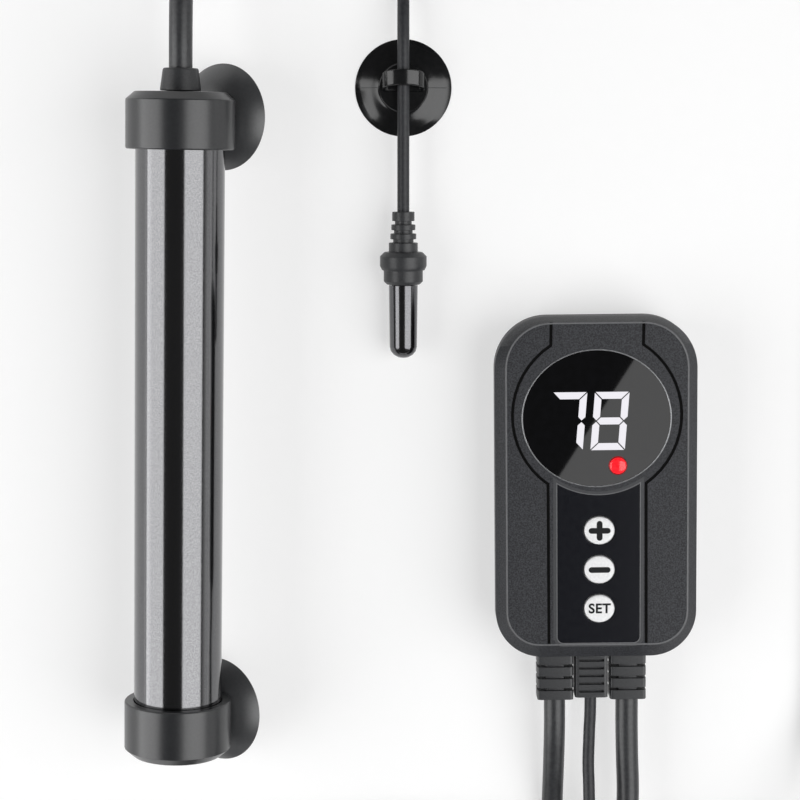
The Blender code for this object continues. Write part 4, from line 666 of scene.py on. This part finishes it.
BARS = {"a": (upper_bar, 1, 1), "b": (upright, 1, 1), "c": (upright, 1, -1),
        "d": (upper_bar, 1, -1), "e": (upright, -1, -1), "f": (upright, -1, 1),
        "g": (middle_bar, 1, 1)}
segments = []
for middle, lit in DIGIT_MIDDLES:
    for bar in lit:
        outline, flip_x, flip_y = BARS[bar]
        segments.append([(middle + flip_x * x + flip_y * y * math.tan(DIGIT_SLANT),
                          DIGITS_Y + flip_y * y) for x, y in outline()])
# A diffuser lit from behind: an even glow that stays a touch below the paper's white.
lit_white = finish("lit_white_segment", "#6c6c6e", "#707072", 1.0, 0.0, 0.5,
                   Emission_Color=linear("#fbf8ff"), Emission_Strength=0.72)
digits = make_piece("display_digits", plate(segments, FACE_Z - SINK, FACE_Z + DIGIT_RISE),
                    lit_white)
on_controller(digits)

RED_LAMP_X, RED_LAMP_Y, RED_LAMP_RADIUS = 0.00677, 0.0081, 0.00300
BEZEL_WIDTH, BEZEL_SINK, BEZEL_RISE, BEZEL_STEPS = 0.0003, 0.0002, 0.00035, 48
# Tinted epoxy, cast: a wet gloss with a glow of its own, darker in the collar round it.
lamp_epoxy_dark = finish("red_lamp_rim", "#8f0a12", "#a5101a", 1.0, 0.002, 0.25)
lamp_epoxy = finish("red_lamp_epoxy", "#f0101c", "#ff2a35", 1.0, 0.002, 0.12,
                    Emission_Color=linear("#ff2028"), Emission_Strength=0.35)
display_window = moulded_skin("display_lens", window_acrylic, 0)
moulded_skin("indicator_led", lamp_epoxy, 0, sharp=60)
bezel_outer, bezel_inner = (
    oval(RED_LAMP_X, RED_LAMP_Y, radius, radius, BEZEL_STEPS)
    for radius in (RED_LAMP_RADIUS, RED_LAMP_RADIUS - BEZEL_WIDTH))
lamp_bezel = flat_ring("lamp_bezel", bezel_outer, bezel_inner, FACE_Z - BEZEL_SINK,
                       FACE_Z + BEZEL_RISE, lamp_epoxy_dark)
round_edges(lamp_bezel, TRIM_EDGE, 2)
on_controller(lamp_bezel)

# ---------------------------------------------------------------- keypad and buttons
# A gloss black panel with three white buttons that stand a millimetre proud. Their legends are
# printed, and each moves with its button.

BUTTON_X, BUTTON_FIRST_Y, BUTTON_PITCH = 0.00065, -0.0134, 0.0131
BUTTON_TOP = FACE_Z + 0.0010
SIGN_WIDE, SIGN_HIGH, SIGN_STROKE = 0.0036, 0.0033, 0.00095      # half sizes
KEYPAD_X, KEYPAD_HALF_WIDTH, KEYPAD_BOTTOM, KEYPAD_CORNER = 0.0004, 0.0136, -0.0512, 0.0020
KEYPAD_TOP_RADIUS = 0.02635     # hollow upper edge, struck from the dial's centre
KEYPAD_LINE, KEYPAD_FRAME = 0.0003, 0.0013      # how far each reaches beyond the panel
KEYPAD_LINE_RISE, KEYPAD_FRAME_RISE, KEYPAD_FRAME_EDGE = 0.00016, 0.0001, 0.00008
INK_RISE = 0.00004
# Plain moulded ABS has a satin skin, and the printed film over the keypad is glossy and bluish.
# The buttons are a clean satin white, and the ink on them is dull.
smooth_abs = finish("smooth_charcoal_abs", "#333437", "#3a3b3e", 0.8, 0.004, 0.40)
keypad_gloss = finish("gloss_printed_polycarbonate", "#101117", "#16171c", 2.0, 0.002, 0.14)
button_abs = finish("moulded_white_abs", "#e8e8e9", "#f2f2f2", 0.8, 0.003, 0.32)
legend_ink = finish("printed_black_ink", "#0c0d0f", "#141517", 0.4, 0.003, 0.60,
                    Specular_IOR_Level=0.25)
moulded_skin("keypad_panel", keypad_gloss, 0.00015)
for name in ("plus", "minus", "set"):
    moulded_skin(f"button_{name}", button_abs, 0.0002, f"{name}_button")


def keypad_outline(grow):
    """Straight sides, rounded lower corners and an upper edge hollowed round the display."""
    half, bottom = KEYPAD_HALF_WIDTH + grow, KEYPAD_BOTTOM - grow
    radius, corner = KEYPAD_TOP_RADIUS - grow, KEYPAD_CORNER + grow
    spread = math.degrees(math.asin(half / radius))
    return (arc(KEYPAD_X + half - corner, bottom + corner, corner, 0, -90)
            + arc(KEYPAD_X - half + corner, bottom + corner, corner, -90, -180)
            + arc(KEYPAD_X, DIAL_Y, radius, -90 - spread, -90 + spread, 24))


keypad_frame = flat_ring("keypad_frame", keypad_outline(KEYPAD_FRAME),
                         keypad_outline(KEYPAD_LINE), FACE_Z - SINK, FACE_Z + KEYPAD_FRAME_RISE,
                         smooth_abs)
round_edges(keypad_frame, KEYPAD_FRAME_EDGE, 2)
on_controller(keypad_frame)
keypad_line = flat_ring("keypad_edge_line", keypad_outline(KEYPAD_LINE), keypad_outline(0.0),
                        FACE_Z - SINK, FACE_Z + KEYPAD_LINE_RISE, pale_line_abs)
on_controller(keypad_line)


def capsule(half_length, half_stroke):
    """The outline of a level bar with round ends."""
    middle = half_length - half_stroke
    return arc(middle, 0, half_stroke, -90, 90) + arc(-middle, 0, half_stroke, 90, 270)


def cross(half_wide, half_high, half_stroke):
    """The outline of a plus sign with round ends."""
    across, up = half_wide - half_stroke, half_high - half_stroke
    corner = half_stroke
    return (arc(across, 0, half_stroke, -90, 90) + [(corner, corner)]
            + arc(0, up, half_stroke, 0, 180) + [(-corner, corner)]
            + arc(-across, 0, half_stroke, 90, 270) + [(-corner, -corner)]
            + arc(0, -up, half_stroke, 180, 360) + [(corner, -corner)])


def legend(name, mesh, row, body):
    """Set a printed legend on the crown of one button."""
    piece = make_piece(name, mesh, legend_ink)
    piece.data.transform(Matrix.Translation((BUTTON_X, BUTTON_FIRST_Y - row * BUTTON_PITCH, 0)))
    on_controller(piece, body)


ink = (BUTTON_TOP - SINK, BUTTON_TOP + INK_RISE)
legend("plus_sign", plate([cross(SIGN_WIDE, SIGN_HIGH, SIGN_STROKE)], *ink), 0, "plus_button")
legend("minus_sign", plate([capsule(SIGN_WIDE, SIGN_STROKE)], *ink), 1, "minus_button")

WORD_SIZE, WORD_BOLD, WORD_SPACING = 0.0045, 0.00012, 1.06
word_data = bpy.data.curves.new("set_word", "FONT")
word_data.body = "SET"
word_data.size = WORD_SIZE
word_data.offset = WORD_BOLD
word_data.space_character = WORD_SPACING
word_data.align_x = word_data.align_y = "CENTER"
word_data.extrude = INK_RISE
word = bpy.data.objects.new("set_word", word_data)
bpy.context.scene.collection.objects.link(word)
bpy.context.view_layer.update()
word_mesh = bmesh.new()
word_mesh.from_mesh(word.to_mesh())
bmesh.ops.translate(word_mesh, vec=(0, 0, BUTTON_TOP), verts=word_mesh.verts)
bpy.data.objects.remove(word)
legend("set_legend", word_mesh, 2, "set_button")

# ---------------------------------------------------------------- controller electronics
# A green glass-epoxy board between the covers, with the display and switches above it and the
# mains parts below it.

# Solder mask is a satin green skin, moulded cases are dull, and the fuse's glass is clean.
board_epoxy = finish("solder_masked_glass_epoxy", "#1b5a38", "#23694a", 0.8, 0.006, 0.42)
relay_case = finish("moulded_blue_pbt", "#1d4f9a", "#2559a6", 0.6, 0.004, 0.38)
component_black = finish("moulded_black_epoxy", "#1a1a1b", "#242425", 0.4, 0.008, 0.50)
fuse_glass = finish("drawn_fuse_glass", "#c2cdcb", "#cdd6d4", 2.0, 0.001, 0.06)
dress(board_epoxy, "circuit_board")
dress(relay_case, "relay")
dress(fuse_glass, "board_fuse")
dress(component_black, "display_module", "power_transformer", "filter_capacitor",
      "terminal_block", "tact_switch_1", "tact_switch_2", "tact_switch_3")

# ---------------------------------------------------------------- table and lamps
# A table of pale matt paper and a tall soft lamp on each side, whose mirror images are the two
# bands on the tube. A dim card overhead gives the display's window its slanting glare.

TABLE_HALF = 6.0
PAPER_LIFT = 0.54               # what the white backdrop adds to the paper's own brightness
LAMPLIT, BACKDROP = 0.5, 1.2    # distances between which the paper turns into the backdrop


def seen_directly(owner):
    """1 for a ray from the camera, or by way of gloss or glass, and 0 for one that lights."""
    rays = add_node(owner, "ShaderNodeLightPath", {})
    seen = rays.outputs["Is Camera Ray"]
    for kind in ("Is Glossy Ray", "Is Transmission Ray"):
        seen = add_node(owner, "ShaderNodeMath", {0: seen, 1: rays.outputs[kind]},
                        operation="MAXIMUM").outputs[0]
    return seen


table_mesh = bmesh.new()
bmesh.ops.create_grid(table_mesh, x_segments=1, y_segments=1, size=TABLE_HALF)
# Uncoated paper has no sheen, and its fibres are too fine to show but for a faint mottle.
table_paper = finish("matt_white_paper", "#b4b4b4", "#b6b6b6", 4.0, 0.0, 0.9)
paper_shader = table_paper.node_tree.nodes["Principled BSDF"]
spot = add_node(table_paper, "ShaderNodeTexCoord", {})
distance = add_node(table_paper, "ShaderNodeVectorMath", {0: spot.outputs["Object"]},
                    operation="LENGTH")
sweep = add_node(table_paper, "ShaderNodeMapRange", {
    "Value": distance.outputs["Value"], "From Min": LAMPLIT, "From Max": BACKDROP,
    "To Min": PAPER_LIFT, "To Max": 1.0})
lift = add_node(table_paper, "ShaderNodeMath", {
    0: seen_directly(table_paper), 1: sweep.outputs["Result"]}, operation="MULTIPLY")
paper_shader.inputs["Emission Color"].default_value = linear("#ffffff")
table_paper.node_tree.links.new(lift.outputs[0], paper_shader.inputs["Emission Strength"])
table = make_piece("table_top", table_mesh, table_paper)


def soft_lamp(name, place, aim, width, depth, radiance):
    """A rectangular lamp of even brightness, unseen by the camera."""
    data = bpy.data.lights.new(name, "AREA")
    data.shape = "RECTANGLE"
    data.size, data.size_y = width, depth
    data.energy = radiance * math.pi * width * depth
    lamp = bpy.data.objects.new(name, data)
    lamp.location = place
    lamp.rotation_euler = (Vector(aim) - Vector(place)).to_track_quat("-Z", "Y").to_euler()
    lamp.visible_camera = False
    bpy.context.scene.collection.objects.link(lamp)
    return lamp


LAMP_RADIANCE, LAMP_LENGTH = 3.3, 1.3
TUBE_X, TUBE_Z, LAMP_Y, LAMP_DISTANCE = -0.0756, 0.028, -0.28, 1.3
LAMP_EDGES = {"left": (-34.5, -86.0), "right": (16.7, 66.5)}    # degrees from above the tube
for side, (nearest, furthest) in LAMP_EDGES.items():
    middle = math.radians((nearest + furthest) / 2)
    breadth = 2 * LAMP_DISTANCE * math.tan(math.radians(abs(furthest - nearest) / 2))
    soft_lamp(f"{side}_lamp", (TUBE_X + LAMP_DISTANCE * math.sin(middle), LAMP_Y,
                               TUBE_Z + LAMP_DISTANCE * math.cos(middle)),
              (TUBE_X, LAMP_Y, TUBE_Z), LAMP_LENGTH, breadth, LAMP_RADIANCE)

# The card's upper left edge, seen in the window, is the line where its glare begins.
GLARE_START, GLARE_END = Vector((0.1494, -0.0576, 0.73)), Vector((0.1024, -0.1326, 0.73))
GLARE_DEPTH, GLARE_LENGTH, GLARE_RADIANCE = 0.14, 0.24, 1.85
along = (GLARE_END - GLARE_START).normalized()
card_middle = (GLARE_START + GLARE_END) / 2 + Vector((-along.y, along.x, 0)) * GLARE_DEPTH / 2
card = soft_lamp("glare_card", card_middle, card_middle - Vector((0, 0, 1)), GLARE_DEPTH,
                 GLARE_LENGTH, GLARE_RADIANCE)
card.rotation_euler = (0, 0, math.atan2(along.y, along.x) - math.pi / 2)
lit_by_card = bpy.data.collections.new("lit_by_glare_card")
lit_by_card.objects.link(display_window)
card.light_linking.receiver_collection = lit_by_card

# Dim above and white round the horizon, as in a studio with white walls. Only what sees the
# walls takes their white, so they add no light to the set.
CEILING = 0.08                  # brightness of the room overhead
WALL_TOP, CEILING_START = 0.15, 0.35        # heights on a unit sphere
world = bpy.data.worlds.new("studio")
bpy.context.scene.world = world
world.use_nodes = True
direction = add_node(world, "ShaderNodeTexCoord", {})
height = add_node(world, "ShaderNodeSeparateXYZ", {0: direction.outputs["Generated"]})
walls = add_node(world, "ShaderNodeMapRange", {
    "Value": height.outputs["Z"], "From Min": WALL_TOP, "From Max": CEILING_START,
    "To Min": 1.0, "To Max": 0.0})
walls_seen = add_node(world, "ShaderNodeMath", {
    0: walls.outputs["Result"], 1: seen_directly(world)}, operation="MULTIPLY")
room = add_node(world, "ShaderNodeMath", {0: walls_seen.outputs[0], 1: CEILING}, operation="ADD")
backdrop = world.node_tree.nodes["Background"]
backdrop.inputs["Color"].default_value = linear("#ffffff")
world.node_tree.links.new(room.outputs[0], backdrop.inputs["Strength"])
bpy.context.scene.view_settings.view_transform = "Standard"
